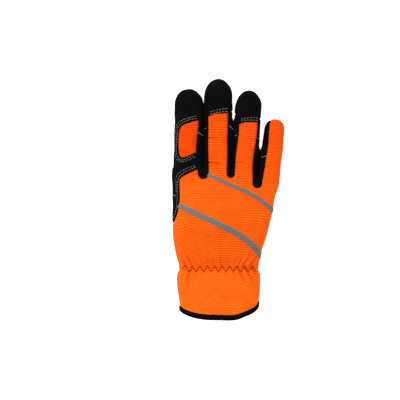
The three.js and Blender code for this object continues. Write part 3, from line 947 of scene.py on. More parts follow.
class Wiring:
    """Short ways to add nodes to a shader tree and join them."""

    def __init__(self, tree: Tree) -> None:
        """Keeps the tree that nodes are added to."""
        self.tree = tree

    def node(self, kind: str, **settings: object) -> Node:
        """Adds a node and sets its properties."""
        made = self.tree.nodes.new(kind)
        for name, value in settings.items():
            setattr(made, name, value)
        return made

    def feed(self, target: Socket, value: object) -> None:
        """Links a socket to a target, or sets the target's own value."""
        if isinstance(value, Socket):
            self.tree.links.new(value, target)
        else:
            target.default_value = value

    def math(self, operation: str, *values: object) -> Socket:
        """A math node on numbers or sockets."""
        made = self.node("ShaderNodeMath", operation=operation)
        for socket, value in zip(made.inputs, values):
            self.feed(socket, value)
        return made.outputs[0]

    def held(self, value: object) -> Socket:
        """A value kept between 0 and 1."""
        made = self.node("ShaderNodeClamp")
        self.feed(made.inputs[0], value)
        return made.outputs[0]

    def mix(self, share: object, first: object, second: object) -> Socket:
        """Mixes two colours."""
        made = self.node("ShaderNodeMix", data_type="RGBA")
        for socket, value in zip((made.inputs[0], made.inputs[6], made.inputs[7]), (share, first, second)):
            self.feed(socket, value)
        return made.outputs[2]

    def noise(self, scale: float, detail: float = 2.0) -> Socket:
        """Noise from 0 to 1 about 0.5, on object coordinates."""
        made = self.node("ShaderNodeTexNoise")
        self.feed(made.inputs["Vector"], self.node("ShaderNodeTexCoord").outputs["Object"])
        self.feed(made.inputs["Scale"], scale)
        made.inputs["Detail"].default_value = detail
        return made.outputs["Fac"]

    def attribute(self, name: str, output: str) -> Socket:
        """One of the attributes that to_mesh keeps at each point."""
        source = self.node("ShaderNodeAttribute", attribute_type="GEOMETRY", attribute_name=name)
        return source.outputs[output]

    def weave(self) -> list[Socket]:
        """The panel's weave attribute: place across the weave, place along it, and edge distance."""
        parts = self.node("ShaderNodeSeparateXYZ")
        self.feed(parts.inputs[0], self.attribute("weave", "Vector"))
        return list(parts.outputs)

    def group(self, tree: Tree, **inputs: object) -> Node:
        """Places a node group with its inputs."""
        made = self.node("ShaderNodeGroup", node_tree=tree)
        for name, value in inputs.items():
            self.feed(made.inputs[name], value)
        return made


def new_group(
    name: str, inputs: dict[str, float], outputs: tuple[str, ...]
) -> tuple[Wiring, Node, Node]:
    """Starts a shader node group of numbers.

    Args:
        name: the group's name.
        inputs: each input's name and default.
        outputs: each output's name.

    Returns:
        The group's wiring and its input and output nodes.
    """
    group = bpy.data.node_groups.new(name, "ShaderNodeTree")
    for label, default in inputs.items():
        socket = group.interface.new_socket(label, in_out="INPUT", socket_type="NodeSocketFloat")
        socket.default_value = default
    for label in outputs:
        group.interface.new_socket(label, in_out="OUTPUT", socket_type="NodeSocketFloat")
    return Wiring(group), group.nodes.new("NodeGroupInput"), group.nodes.new("NodeGroupOutput")


def knit_group() -> Tree:
    """Rib knit: ribs along the courses, each a row of small loops, with a little fuzz.

    The rib mask is (1 + cos(2 pi course / Pitch)) / 2. A loop is a sine across it, leaning with its side.
    """
    wire, given, out = new_group("rib_knit", {"Pitch": 0.00235, "Loop": 0.0011}, ("Rib", "Height", "Loops"))
    across, course, _ = wire.weave()
    turn = wire.math("MULTIPLY", wire.math("DIVIDE", course, given.outputs["Pitch"]), 2 * math.pi)
    rib = wire.math("MULTIPLY_ADD", wire.math("COSINE", turn), 0.5, 0.5)
    lean = wire.math("MULTIPLY", wire.math("ABSOLUTE", wire.math("SINE", turn)), 0.0004)
    loop_turn = wire.math("DIVIDE", wire.math("ADD", across, lean), given.outputs["Loop"])
    swing = wire.math("SINE", wire.math("MULTIPLY", loop_turn, 2 * math.pi))
    loops = wire.math("MULTIPLY_ADD", swing, 0.5, 0.5)
    fuzz = wire.math("MULTIPLY_ADD", wire.noise(2600.0, 3.0), 0.5, wire.math("MULTIPLY", rib, 0.3))
    height = wire.math("MULTIPLY_ADD", loops, 0.35, fuzz)
    wire.feed(out.inputs["Rib"], rib)
    wire.feed(out.inputs["Height"], height)
    wire.feed(out.inputs["Loops"], loops)
    return wire.tree


def grain_group() -> Tree:
    """Leather grain: small rounded cells between fine creases, over broader unevenness."""
    wire, given, out = new_group("leather_grain", {"Scale": 900.0}, ("Height",))
    cells = wire.node("ShaderNodeTexVoronoi", feature="SMOOTH_F1")
    wire.feed(cells.inputs["Vector"], wire.node("ShaderNodeTexCoord").outputs["Object"])
    wire.feed(cells.inputs["Scale"], given.outputs["Scale"])
    height = wire.math("MULTIPLY_ADD", wire.noise(160.0, 4.0), 0.8, cells.outputs["Distance"])
    wire.feed(out.inputs["Height"], height)
    return wire.tree


def edge_group() -> Tree:
    """The sewn edge of a panel: a mask that fades from 1 at the edge to 0 at Reach, broken by noise."""
    wire, given, out = new_group("sewn_edge", {"Reach": 0.0016, "Broken": 0.5}, ("Mask",))
    _, _, edge = wire.weave()
    near = wire.math("SUBTRACT", 1.0, wire.math("DIVIDE", edge, given.outputs["Reach"]))
    patchy = wire.math("MULTIPLY", wire.noise(420.0), given.outputs["Broken"])
    wire.feed(out.inputs["Mask"], wire.held(wire.math("SUBTRACT", near, patchy)))
    return wire.tree


@dataclass(frozen=True)
class Finish:
    """A finish: its slot, two colours that it varies between, roughness, gloss, and its bumps' strength."""

    name: str
    slot: Slot
    colour: Colour
    other: Colour
    roughness: float
    gloss: float
    bump: float
    scale: float = 900.0
    bump_height: float = 0.00035

    def build(self, groups: Groups) -> Material:
        """Makes the material."""
        material = bpy.data.materials.new(self.name)
        material.use_nodes = True
        shader = material.node_tree.nodes["Principled BSDF"]
        shader.inputs["Specular IOR Level"].default_value = self.gloss
        wire = Wiring(material.node_tree)
        colour, roughness, height = self.look(wire, groups, (*self.colour, 1.0), (*self.other, 1.0))
        wire.feed(shader.inputs["Base Color"], colour)
        wire.feed(shader.inputs["Roughness"], roughness)
        bump = wire.node("ShaderNodeBump")
        bump.inputs["Strength"].default_value = self.bump
        bump.inputs["Distance"].default_value = self.bump_height
        wire.feed(bump.inputs["Height"], height)
        wire.feed(shader.inputs["Normal"], bump.outputs[0])
        return material

    def look(self, wire: Wiring, groups: Groups, plain: Row, other: Row) -> Look:
        """Wires up the material's colour, its roughness and the height of its bumps."""
        raise NotImplementedError


@dataclass(frozen=True)
class KnitFinish(Finish):
    """Bright rib knit, with painted shade between the ribs, in the loops' gaps and along the seams."""

    def look(self, wire: Wiring, groups: Groups, plain: Row, other: Row) -> Look:
        """Mixes the two colours by painted rib and loop shade, random noise, and the painted shade and
        deeper tone kept at each point; paints shade along the seams too.
        """
        knit = wire.group(groups["knit"])
        edge = wire.group(groups["edge"], Reach=0.0020, Broken=0.3)
        # Painted shade: deeper colour in the grooves between ribs and the gaps between loops.
        loop_shade = wire.math("MULTIPLY_ADD", knit.outputs["Loops"], 0.1, -0.02)
        rib_shade = wire.math("MULTIPLY_ADD", knit.outputs["Rib"], 0.5, loop_shade)
        fine = wire.math("MULTIPLY", wire.noise(600.0, 2.0), 0.4)
        uneven = wire.math("MULTIPLY_ADD", wire.noise(85.0, 3.0), 0.4, fine)
        # Painted shade in folds and by the elastic, and deeper tone on the fingers, from the mesh
        # attribute; the noise is the knit's own uneven tone.
        pale = wire.math("MULTIPLY_ADD", wire.attribute("shade_and_tone", "Fac"), -0.9, uneven)
        cloth = wire.mix(wire.held(wire.math("ADD", rib_shade, pale)), other, plain)
        # Painted shade along the seams, where the knit dips into them.
        seam = wire.math("MULTIPLY", edge.outputs["Mask"], 0.5)
        return wire.mix(seam, cloth, other), self.roughness, knit.outputs["Height"]


@dataclass(frozen=True)
class LeatherFinish(Finish):
    """Dull synthetic leather or cloth: fine grain, a little greyer and smoother where it is worn."""

    def look(self, wire: Wiring, groups: Groups, plain: Row, other: Row) -> Look:
        """Mixes the two colours by the sewn edge and broad noise, which also smooths it in patches."""
        grain = wire.group(groups["grain"], Scale=self.scale)
        edge = wire.group(groups["edge"], Reach=0.0012, Broken=0.7)
        uneven = wire.noise(55.0, 3.0)
        share = wire.math("MULTIPLY_ADD", edge.outputs["Mask"], 0.5, wire.math("MULTIPLY", uneven, 0.5))
        roughness = wire.math("MULTIPLY_ADD", uneven, -0.2, self.roughness + 0.1)
        return wire.mix(share, plain, other), roughness, grain.outputs["Height"]


@dataclass(frozen=True)
class ThreadFinish(Finish):
    """Sewing thread: a plain colour with a fine uneven twist."""

    def look(self, wire: Wiring, groups: Groups, plain: Row, other: Row) -> Look:
        """Mixes the two colours by the twist."""
        twist = wire.noise(1500.0)
        return wire.mix(twist, other, plain), self.roughness, twist


@dataclass(frozen=True)
class TapeFinish(Finish):
    """Reflective tape: grey glass beads on cloth, duller in patches."""

    def look(self, wire: Wiring, groups: Groups, plain: Row, other: Row) -> Look:
        """Mixes the two colours by beads and patches."""
        beads, dull = wire.noise(3200.0, 1.0), wire.noise(140.0, 4.0)
        share = wire.math("MULTIPLY_ADD", beads, 0.6, wire.math("MULTIPLY", dull, 0.5))
        roughness = wire.math("MULTIPLY_ADD", dull, 0.3, self.roughness - 0.1)
        return wire.mix(share, other, plain), roughness, beads


# The knit's second colour is its deeper one, which the painted shade mixes in.
ORANGE = KnitFinish(
    "orange_knit", Slot.KNIT, (0.81, 0.142, 0.0058), (0.61, 0.034, 0.0008), 0.88, 0.04, 0.6
)
BLACK_LEATHER = LeatherFinish(
    "black_leather", Slot.LEATHER, (0.0016, 0.0016, 0.0017), (0.0034, 0.0034, 0.0036), 0.75, 0.025, 0.5
)
BLACK_CLOTH = LeatherFinish(
    "black_cloth", Slot.CLOTH, (0.0016, 0.0017, 0.0021), (0.0030, 0.0033, 0.0040), 0.8, 0.025, 0.5, 1500.0
)
BLACK_PADDING = LeatherFinish(
    "black_padding", Slot.PADDING, (0.0036, 0.0036, 0.0037), (0.0075, 0.0075, 0.0078), 0.6, 0.1, 0.5, 700.0
)
BLACK_BINDING = LeatherFinish(
    "black_binding", Slot.BINDING, (0.0036, 0.0012, 0.0012), (0.0070, 0.0026, 0.0026), 0.85, 0.02, 0.6,
    1800.0,
)
GREY_TAPE = TapeFinish(
    "grey_tape", Slot.TAPE, (0.135, 0.135, 0.138), (0.088, 0.088, 0.091), 0.6, 0.2, 0.25
)
LIGHT_THREAD = ThreadFinish(
    "light_thread", Slot.LEATHER, (0.36, 0.36, 0.36), (0.22, 0.22, 0.22), 0.8, 0.1, 0.3
)
ORANGE_THREAD = ThreadFinish(
    "orange_thread", Slot.KNIT, (0.46, 0.032, 0.002), (0.32, 0.018, 0.001), 0.85, 0.1, 0.3
)
FINISHES = (
    ORANGE, BLACK_LEATHER, BLACK_CLOTH, BLACK_PADDING, BLACK_BINDING, GREY_TAPE, LIGHT_THREAD, ORANGE_THREAD
)


class Workshop:
    """Turns meshes into pieces of the scene, each with its material and its CAD nodes."""

    def __init__(self) -> None:
        """Builds the shared node groups and every material once."""
        groups = {"knit": knit_group(), "grain": grain_group(), "edge": edge_group()}
        self.materials = {each.name: each.build(groups) for each in FINISHES}

    def piece(
        self, mesh: Mesh, finish: Finish, slot: Slot, nodes: tuple[str, ...] = ()
    ) -> Thing:
        """Adds a mesh to the scene as a piece that rides on the glove.

        Args:
            mesh: the piece's mesh, in metres; its name is the piece's.
            finish: what it is made of.
            slot: the record's material slot; not used.
            nodes: the CAD nodes that it stands for.

        Returns:
            The object.
        """
        made = bpy.data.objects.new(mesh.name, mesh)
        bpy.context.scene.collection.objects.link(made)
        mesh.materials.append(self.materials[finish.name])
        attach(made, BODY)
        if nodes:
            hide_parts(*nodes)
        log.info("%s: %d faces", mesh.name, len(mesh.polygons))
        return made


class Side(Enum):
    """From where a seam or patch is set on the glove."""

    BACK = 1
    PALM = -1


@dataclass(frozen=True)
class Seam:
    """A line of stitches, set on the skin from one side."""

    corners: Plan
    side: Side = Side.BACK
    closed: bool = False

    def near(self, points: Array) -> Array:
        """Plan distance of points to the seam."""
        return to_line(points[:, 0], points[:, 1], curve_through(self.corners, 2.0, self.closed))


def outline_seam(corners: Plan, radius: float, inset: float) -> Plan:
    """The line that runs inset inside a rounded outline."""
    line = curve_through(rounded(corners, radius), 1.0, True)
    moved = beside(line, inset)
    inner = moved if np.ptp(moved[:, 0]) < np.ptp(line[:, 0]) else beside(line, -inset)
    return tuple(map(tuple, inner[:-1:3]))


PAD_OUTLINES = {
    "knuckle_pad_index": (row(-51, 35, -35, 35, -34.4, 22, -35, 12, -35, -1.5, -51, -1.5), 5.0),
    "knuckle_pad_middle": (row(-22, 33.5, -10.5, 33.5, -10, 24.5, -22, 16.5), 4.0),
    "heel_pad": (row(4, -8, 29, -6, 22, -36, 8, -49, -13, -43, -7, -25), 7.0),
}
BACK_SEAMS = (
    Seam(row(
        -32.4, 84, -38, 82.9, -42.3, 81.7, -45.3, 80.4, -48.2, 79, -50.8, 76.6, -52, 73.9, -53, 66.5,
        -53.6, 60.3, -53.8, 53, -53.4, 47.6, -52.4, 43.9, -49.8, 41.3, -46.5, 41.1, -43.4, 42.5,
        -40.2, 43.8, -35.5, 45.3,
    )),
    Seam(row(
        -32.8, 86.4, -39.3, 84.9, -44, 83.6, -48.3, 81.7, -51.6, 79.4, -53.6, 76.4, -54.4, 72.6,
        -55.2, 66.5, -55.7, 60.3, -55.9, 54, -55.4, 49.3, -54.6, 44.6, -53, 41.5, -50.4, 39.6, -47, 39.2,
        -43.2, 40.4, -39, 42, -34, 43.9,
    )),
    Seam(row(
        -33.4, 33.6, -38.3, 31.6, -43.6, 29.2, -47.4, 26.8, -49.9, 24.8, -51.3, 22.6, -51.9, 20.2,
        -52.6, 15.8, -52.9, 11.9, -52.9, 7, -53, 2, -53.4, -4, -54.4, -10, -55.4, -15, -56.4, -19.5,
    )),
    Seam(row(
        -34.3, 35.5, -40.2, 33.3, -44.5, 31.6, -47.9, 29.6, -50.8, 27.5, -52.8, 25.5, -53.9, 22.6,
        -54.1, 17.8, -54, 11.9, -54.1, 7,
    )),
    Seam(row(-19.3, 90.6, -12.5, 92.4, -0.6, 94.4)),
    Seam(row(-19.3, 87.9, -11.2, 90.0, -0.6, 91.2)),
    Seam(row(12.8, 82.8, 16.0, 83.8, 25.5, 84.7, 31.1, 84.1)),
    Seam(row(12.5, 80.8, 16.6, 82.0, 22, 82.2, 30.8, 81.7)),
)
PALM_SEAMS = (
    Seam(row(-10.7, -17.8, 2, -17.4, 20, -16.0, 31, -15.0), Side.PALM),
    Seam(row(-10.0, -15.6, 2, -15.2, 20, -13.8, 31.5, -12.8), Side.PALM),
    Seam(row(-14.5, -56.5, -4.0, -54.5, 6.0, -56.0, 12.5, -60.5), Side.PALM),
    Seam(row(-15.0, -58.7, -4.0, -56.7, 5.4, -58.2, 11.0, -62.2), Side.PALM),
    Seam(row(-20.0, -64.0, -19.0, -84.0, -17.5, -104.0, -16.8, -117.5), Side.PALM),
    Seam(row(16.0, -68.0, 17.0, -86.0, 16.8, -104.0, 16.2, -116.5), Side.PALM),
    Seam(row(-49.0, -13.0, -53.5, -13.3), Side.PALM),
    Seam(row(-49.0, -15.4, -53.5, -15.7), Side.PALM),
)


@dataclass(frozen=True)
class Panel:
    """How one panel is cut from a skin and stands on it."""

    name: str
    node: str
    inside: Field
    finish: Finish
    stands: float = 0.0
    relief: float = 1.0


@dataclass
class SewnSkin:
    """A meshed form, cut into panels one after another.

    A panel's surface is the skin plus its relief, less the seam's dip and the channels that its stitches
    pull in. The dip is edge_drop exp(-(d / edge_width)^2), with d the distance to the panel's edge. It
    fades out where there is no room beside the next finger.
    """

    distance: Field
    sheet: Sheet
    workshop: Workshop
    course: Field
    shade_and_tone: Field
    seams: tuple[Seam, ...] = ()
    wall: float = 1.5
    wall_on_floor: float = 0.7
    edge_reach: float = 8.0
    edge_drop: float = 0.8
    edge_width: float = 1.0
    edge_room: float = 0.3
    channel_depth: float = 0.3
    channel_width: float = 0.75

    def channels(self, points: Array, heading: Array) -> Array:
        """How deep the stitches pull a panel in: a bell across each seam that faces the same way."""
        total = np.zeros(len(points))
        for seam in self.seams:
            depth = self.channel_depth * bell(seam.near(points), self.channel_width)
            total = np.maximum(total, np.where(heading[:, 2] * seam.side.value > 0, depth, 0.0))
        return total

    def dress(self, sheet: Sheet, panel: Panel) -> None:
        """Gives a cut sheet its relief, its drawn-in edges and its wall, and adds it to the scene."""
        points = sheet.points
        way = outward(self.distance, points)
        edge = sheet.edge_distance(self.edge_reach)
        course = self.course(points)
        if panel.finish is ORANGE:
            relief = RELIEF.cloth(points) + RELIEF.ribs(course)
        else:
            relief = RELIEF.leather(points) - self.channels(points, way)
        room = FORM.room(points)
        drop = self.edge_drop * bell(edge, self.edge_width) * smooth(room - self.edge_room)
        rise = np.minimum(panel.relief * relief + panel.stands - drop, room)
        inner = np.minimum(rise, 0.0) - self.wall
        weave = np.stack([points[:, 0], course, edge, self.shade_and_tone(points)], axis=1)
        mesh = sheet.walled(panel.name, way, rise, inner, self.wall_on_floor * self.wall, weave)
        self.workshop.piece(mesh, panel.finish, panel.finish.slot, (panel.node,))

    def take(self, panel: Panel) -> None:
        """Cuts a panel off what is left of the skin and adds it."""
        values = panel.inside(self.sheet.points)
        self.dress(self.sheet.where(values), panel)
        self.sheet = self.sheet.where(-values)


def form_sheet(
    distance: Field, low: Row, high: Row, step: Row, close: Field = np.asarray
) -> Sheet:
    """Meshes a form and moves the mesh's points onto it.

    Args:
        distance: the form's distance.
        low: the lowest corner of the space that is meshed.
        high: its highest corner.
        step: its cell size along each axis.
        close: takes points from the space that is meshed to the form's own.

    Returns:
        The form's surface.
    """
    cell = np.array(step)
    meshed = mesh_field(lambda q: distance(close(q)), np.array(low), np.array(high), cell)
    return Sheet(settle(distance, close(meshed.points)), meshed.faces)


@dataclass
class Hand:
    """The hand with its four fingers: the knit back, the palm, the guard, the caps and the finger walls."""

    workshop: Workshop
    low: Row = (-62.0, -132.0, -2.0)
    high: Row = (78.0, 129.0, 36.0)
    step: Row = (1.3, 0.54, 0.95)
    quick_step: Row = (1.9, 1.1, 1.4)
    hem: Plan = row(
        -64, -113, -53, -113.6, -49.8, -115.2, -46.6, -117.6, -38, -121, -25.6, -123.4, -9.8, -124,
        7.3, -123.8, 16.5, -120.6, 25.7, -116.6, 29.6, -113.2, 31.4, -110.4, 34, -108, 44, -106,
    )
    under_binding: float = 4.5
    below_mouth: Plan = row(60, -160, -80, -160)
    thumb_overlap: float = 0.6
    palm: Plan = row(
        -21.5, -140, -21.7, -119, -23.9, -96, -29, -80, -31, -67, -33, -54, -44, -36, -50.5, -26, -50.5, 26,
        -75, 34, 75, 22, 45, 22, 39.5, 8, 33, -14, 27, -40, 19, -66, 21, -88, 20, -140,
    )
    finger_zone: Plan = row(-80, 26, -50.5, 26, 45, 22, 80, 22, 80, 140, -80, 140)
    guard_edge: Plan = row(
        -31.5, 31.9, -36.3, 29.6, -41.1, 27.5, -46, 25, -49, 23.1, -50.4, 20.7, -50.8, 16, -50.6, 4,
        -51, -3, -52, -9, -53, -14, -54.7, -18.2, -57.4, -23.6, -62, -29,
    )
    guard_rest: Plan = row(-80, 135, -25.8, 135, -25.8, 83.4, -30.9, 82.6)
    window: Plan = row(
        -27.5, 82.7, -31.4, 81.9, -38.5, 80.2, -45.3, 78, -48.7, 75.9, -50.4, 72.4, -51.4, 67.8,
        -51.9, 61.4, -51.9, 55, -51.4, 49.4, -50.4, 45.1, -48.3, 43.5, -45.3, 43.9, -41, 45.5, -36.7, 47.3,
        -27.5, 51.5,
    )
    window_lift: float = 3.0
    middle_cap: Plan = row(
        -25.8, 84.0, -21.3, 85.8, -13, 88.5, 0, 89.2, 6, 89.3, 6, 140, -25.8, 140
    )
    ring_cap: Plan = row(
        6, 76.0, 10.7, 77.9, 17.2, 79.9, 24, 80.0, 30.8, 79.6, 36.5, 79.4, 36.5, 130, 6, 130
    )
    split_on_hand: float = 13.0
    split_on_finger: float = 4.5
    patch_stands: float = 0.35
    slit_stands: float = 0.3
    slit_relief: float = 0.2

    def split_height(self, points: Array) -> Array:
        """Height of the seam between back and palm before the thumb lifts it: lower on the fingers."""
        on_finger = smooth((points[:, 1] - 12.0) / 16.0)
        return self.split_on_hand + on_finger * (self.split_on_finger - self.split_on_hand)

    def palm_side(self, points: Array) -> Array:
        """Positive on the palm leather: inside its plan outline and below the seam."""
        on_either = np.maximum(inside_outline(points, self.palm), inside_outline(points, self.finger_zone))
        return np.minimum(on_either, self.split_height(points) - FORM.flat_height(points))

    def guard_side(self, points: Array) -> Array:
        """Positive on the index finger's guard."""
        edge = curve_through(self.guard_edge, 1.5)
        return inside_outline(points, np.concatenate([edge, self.guard_rest]))

    def window_side(self, points: Array) -> Array:
        """Positive in the knit window of the index finger."""
        above = FORM.flat_height(points) - self.split_height(points) - self.window_lift
        return np.minimum(inside_outline(points, self.window), above)

    def full_sheet(self) -> Sheet:
        """Meshes the hand with its fingers, down to the binding and open where the thumb joins."""
        sheet = form_sheet(FORM.skin, self.low, self.high, self.step, FingerGaps().close)
        log.info("skin: %d points", len(sheet.points))
        edge = curve_through(self.hem, 2.0) + np.array([0.0, self.under_binding])
        below = np.concatenate([edge, self.below_mouth])
        sheet = sheet.where(-inside_outline(sheet.points, below))
        return sheet.where(FORM.thumb(sheet.points) + self.thumb_overlap)

    def sew(self) -> Sheet:
        """Cuts and dresses every panel, and returns the whole skin for what is sewn onto it."""
        whole = self.full_sheet()
        seams = BACK_SEAMS + PALM_SEAMS
        skin = SewnSkin(FORM.skin, whole, self.workshop, RELIEF.course, RELIEF.shade_and_tone, seams)
        skin.take(Panel("palm_leather", "palm_panel", self.palm_side, BLACK_LEATHER))
        for node, slit in SLITS.items():
            sizes = (self.slit_stands, self.slit_relief)
            skin.take(Panel(node + "_cloth", node, within(slit.outline()), BLACK_CLOTH, *sizes))
        for node, outline in (("middle_fingertip", self.middle_cap), ("ring_fingertip", self.ring_cap)):
            skin.take(Panel(node + "_cap", node, within(outline), BLACK_LEATHER, self.patch_stands))
        skin.take(Panel("index_back_knit", "index_back", self.window_side, ORANGE))
        guard = ("index_guard_leather", "index_guard", self.guard_side, BLACK_LEATHER)
        skin.take(Panel(*guard, self.patch_stands))
        skin.dress(skin.sheet, Panel("back_knit", "back_panel", self.guard_side, ORANGE))
        return whole


@dataclass(frozen=True)
class Slit:
    """The black walls between two fingers, seen from above: two edges and a round lower end."""

    left: Plan
    right: Plan
    end: tuple[float, float]
    radius: float

    def outline(self) -> Array:
        """Up the right edge, down the left one, and round the end."""
        turn = np.linspace(math.pi, 2 * math.pi, 13)[1:-1]
        arc = np.array(self.end) + self.radius * np.stack([np.cos(turn), np.sin(turn)], axis=1)
        return np.concatenate([curve_through(self.right, 2.0), curve_through(self.left, 2.0)[::-1], arc])


SLITS = {
    "fourchette_index_middle": Slit(
        row(-31.9, 28, -33.4, 48, -32.9, 60, -32, 68, -30.9, 77, -31.2, 86),
        row(-20.7, 28, -21.3, 55, -20.9, 87.5),
        (-26.2, 27.3),
        5.6,
    ),
    "fourchette_middle_ring": Slit(
        row(-1.8, 28, -1, 55, -0.6, 91),
        row(6.3, 28, 7.8, 48, 11, 79.4, 9.5, 84.5, 5.2, 91.5),
        (2.3, 27),
        4.2,
    ),
    "fourchette_ring_little": Slit(
        row(24.9, 18, 25.4, 41, 28.8, 62, 30.6, 82.5),
        row(34.8, 18, 38.2, 41, 40.8, 57, 42.4, 79, 45, 88),
        (29.8, 16.8),
        4.9,
    ),
}


@dataclass
class Thumb:
    """The folded thumb: a leather saddle at its root, a knit back, and a leather palm side and tip."""

    workshop: Workshop
    low: Row = (-56.0, -84.0, -2.0)
    high: Row = (16.0, 32.0, 24.0)
    step: Row = (1.2, 0.55, 0.8)
    quick_step: Row = (1.8, 1.1, 1.2)
    saddle: Plan = row(-70, -43, -55, -32, -30, -6.5, -6.4, 18.6, 4, 44, -80, 60)
    back: Plan = row(
        -70, -80, -31, -80, -24, -42, -13.5, -19, -1.4, 2, -0.4, 8.5, -3.4, 16.4, -30, 30, -80, 30
    )
    back_round: float = 6.0
    rim_high: float = 8.6
    rim_low: float = 5.2
    rim_fall: float = 0.08
    rim_from: float = -52.0
    hand_overlap: float = 0.3

    def back_side(self, points: Array) -> Array:
        """Positive on the knit back: inside its plan outline and under the thumb's rim."""
        fall = self.rim_fall * (points[:, 1] - self.rim_from)
        rim = np.clip(self.rim_high - fall, self.rim_low, self.rim_high)
        return np.minimum(inside_outline(points, rounded(self.back, self.back_round)), rim - points[:, 2])

    def sew(self) -> None:
        """Meshes the thumb, then cuts and dresses its panels."""
        whole = form_sheet(FORM.thumb, self.low, self.high, self.step)
        whole = whole.where(FORM.skin(whole.points) + self.hand_overlap)
        skin = SewnSkin(FORM.thumb, whole, self.workshop, self.course, lambda points: 0 * points[:, 0])
        skin.take(Panel("thumb_saddle_leather", "thumb_saddle", within(self.saddle), BLACK_LEATHER))
        skin.take(Panel("thumb_back_knit", "thumb_back", self.back_side, ORANGE))
        palm = Panel("thumb_palm_leather", "thumb_palm", self.back_side, BLACK_LEATHER)
        skin.dress(skin.sheet, palm)

    def course(self, points: Array) -> Array:
        """Place along the thumb, which the knit's ribs cross."""
        return FORM.thumb_place(points)[0]


@dataclass
class Overlay:
    """A patch laid on the skin: its outline, how thick it stands, and how it crowns from its edges."""

    name: str
    node: str
    outline: Array
    side: Side
    finish: Finish
    thick: float
    crown_width: float
    clear: float = 0.12
    rim: float = 0.35
    edge_reach: float = 12.0
    inner_lowest: float = 0.4
    facing_reach: float = 4.0
    facing_spare: float = 1.2

    def lay(self, workshop: Workshop, whole: Sheet) -> Thing:
        """Cuts the patch from the whole skin and crowns it.

        At d from its edge it stands thick (rim + (1 - rim) (1 - exp(-d / crown_width))) over the panel
        below.
        """
        facing = outward(FORM.skin, whole.points)[:, 2] * self.side.value
        patch = inside_outline(whole.points, self.outline)
        sheet = whole.where(np.minimum(patch, facing * self.facing_reach + self.facing_spare))
        points = sheet.points
        edge = sheet.edge_distance(self.edge_reach)
        below = RELIEF.cloth(points) * (1.0 if self.side is Side.BACK else RELIEF.under_leather)
        base = below + self.clear
        crown = self.thick * (self.rim + (1.0 - self.rim) * (1.0 - np.exp(-edge / self.crown_width)))
        weave = np.stack([points[:, 0], points[:, 1], edge, 0 * edge], axis=1)
        way = outward(FORM.skin, points)
        mesh = sheet.walled(self.name, way, base + crown, base, self.inner_lowest, weave)
        return workshop.piece(mesh, self.finish, self.finish.slot, (self.node,))


@dataclass
class Trimmings:
    """The reflective tapes on the back and the padded patches of the palm."""

    workshop: Workshop
    whole: Sheet
    tape_thick: float = 0.55
    tape_crown: float = 0.35
    upper: Plan = row(
        -21.5, 25.9, -5.8, 18.6, 9.3, 12.0, 23.5, 5.2, 33, -0.6, 43.6, -9.1, 51, -16, 56, -21
    )
    upper_width: tuple[float, float] = (3.5, 4.4)
    lower: Plan = row(
        -51.6, -5.6, -50.7, -6.1, -35.8, -13.4, -20.7, -20.2, -5.8, -27.3, 9.3, -35.4, 24.2, -46.6,
        33.5, -57.9, 38, -64.4,
    )
    lower_width: tuple[float, float] = (5.4, 6.2)
    pad_thick: float = 2.0
    pad_crown: float = 2.4
    pad_fill: float = 0.7

    def strip(self, corners: Plan, widths: tuple[float, float]) -> Array:
        """The outline of a tape whose width grows along its line."""
        line = curve_through(corners, 1.5)
        half = np.linspace(widths[0], widths[1], len(line))[:, None] / 2
        to_right = beside(line, 1.0) - line
        return np.concatenate([line + to_right * half, (line - to_right * half)[::-1]])

    def sew(self) -> None:
        """Lays the tapes and the pads."""
        for node, corners, widths in (
            ("reflective_tape_upper", self.upper, self.upper_width),
            ("reflective_tape_lower", self.lower, self.lower_width),
        ):
            outline, sizes = self.strip(corners, widths), (self.tape_thick, self.tape_crown)
            tape = Overlay(node + "_strip", node, outline, Side.BACK, GREY_TAPE, *sizes)
            tape.lay(self.workshop, self.whole)
        for node, (corners, radius) in PAD_OUTLINES.items():
            outline, sizes = rounded(corners, radius), (self.pad_thick, self.pad_crown)
            pad = Overlay(node + "_patch", node, outline, Side.PALM, BLACK_PADDING, *sizes)
            pad.lay(self.workshop, self.whole)


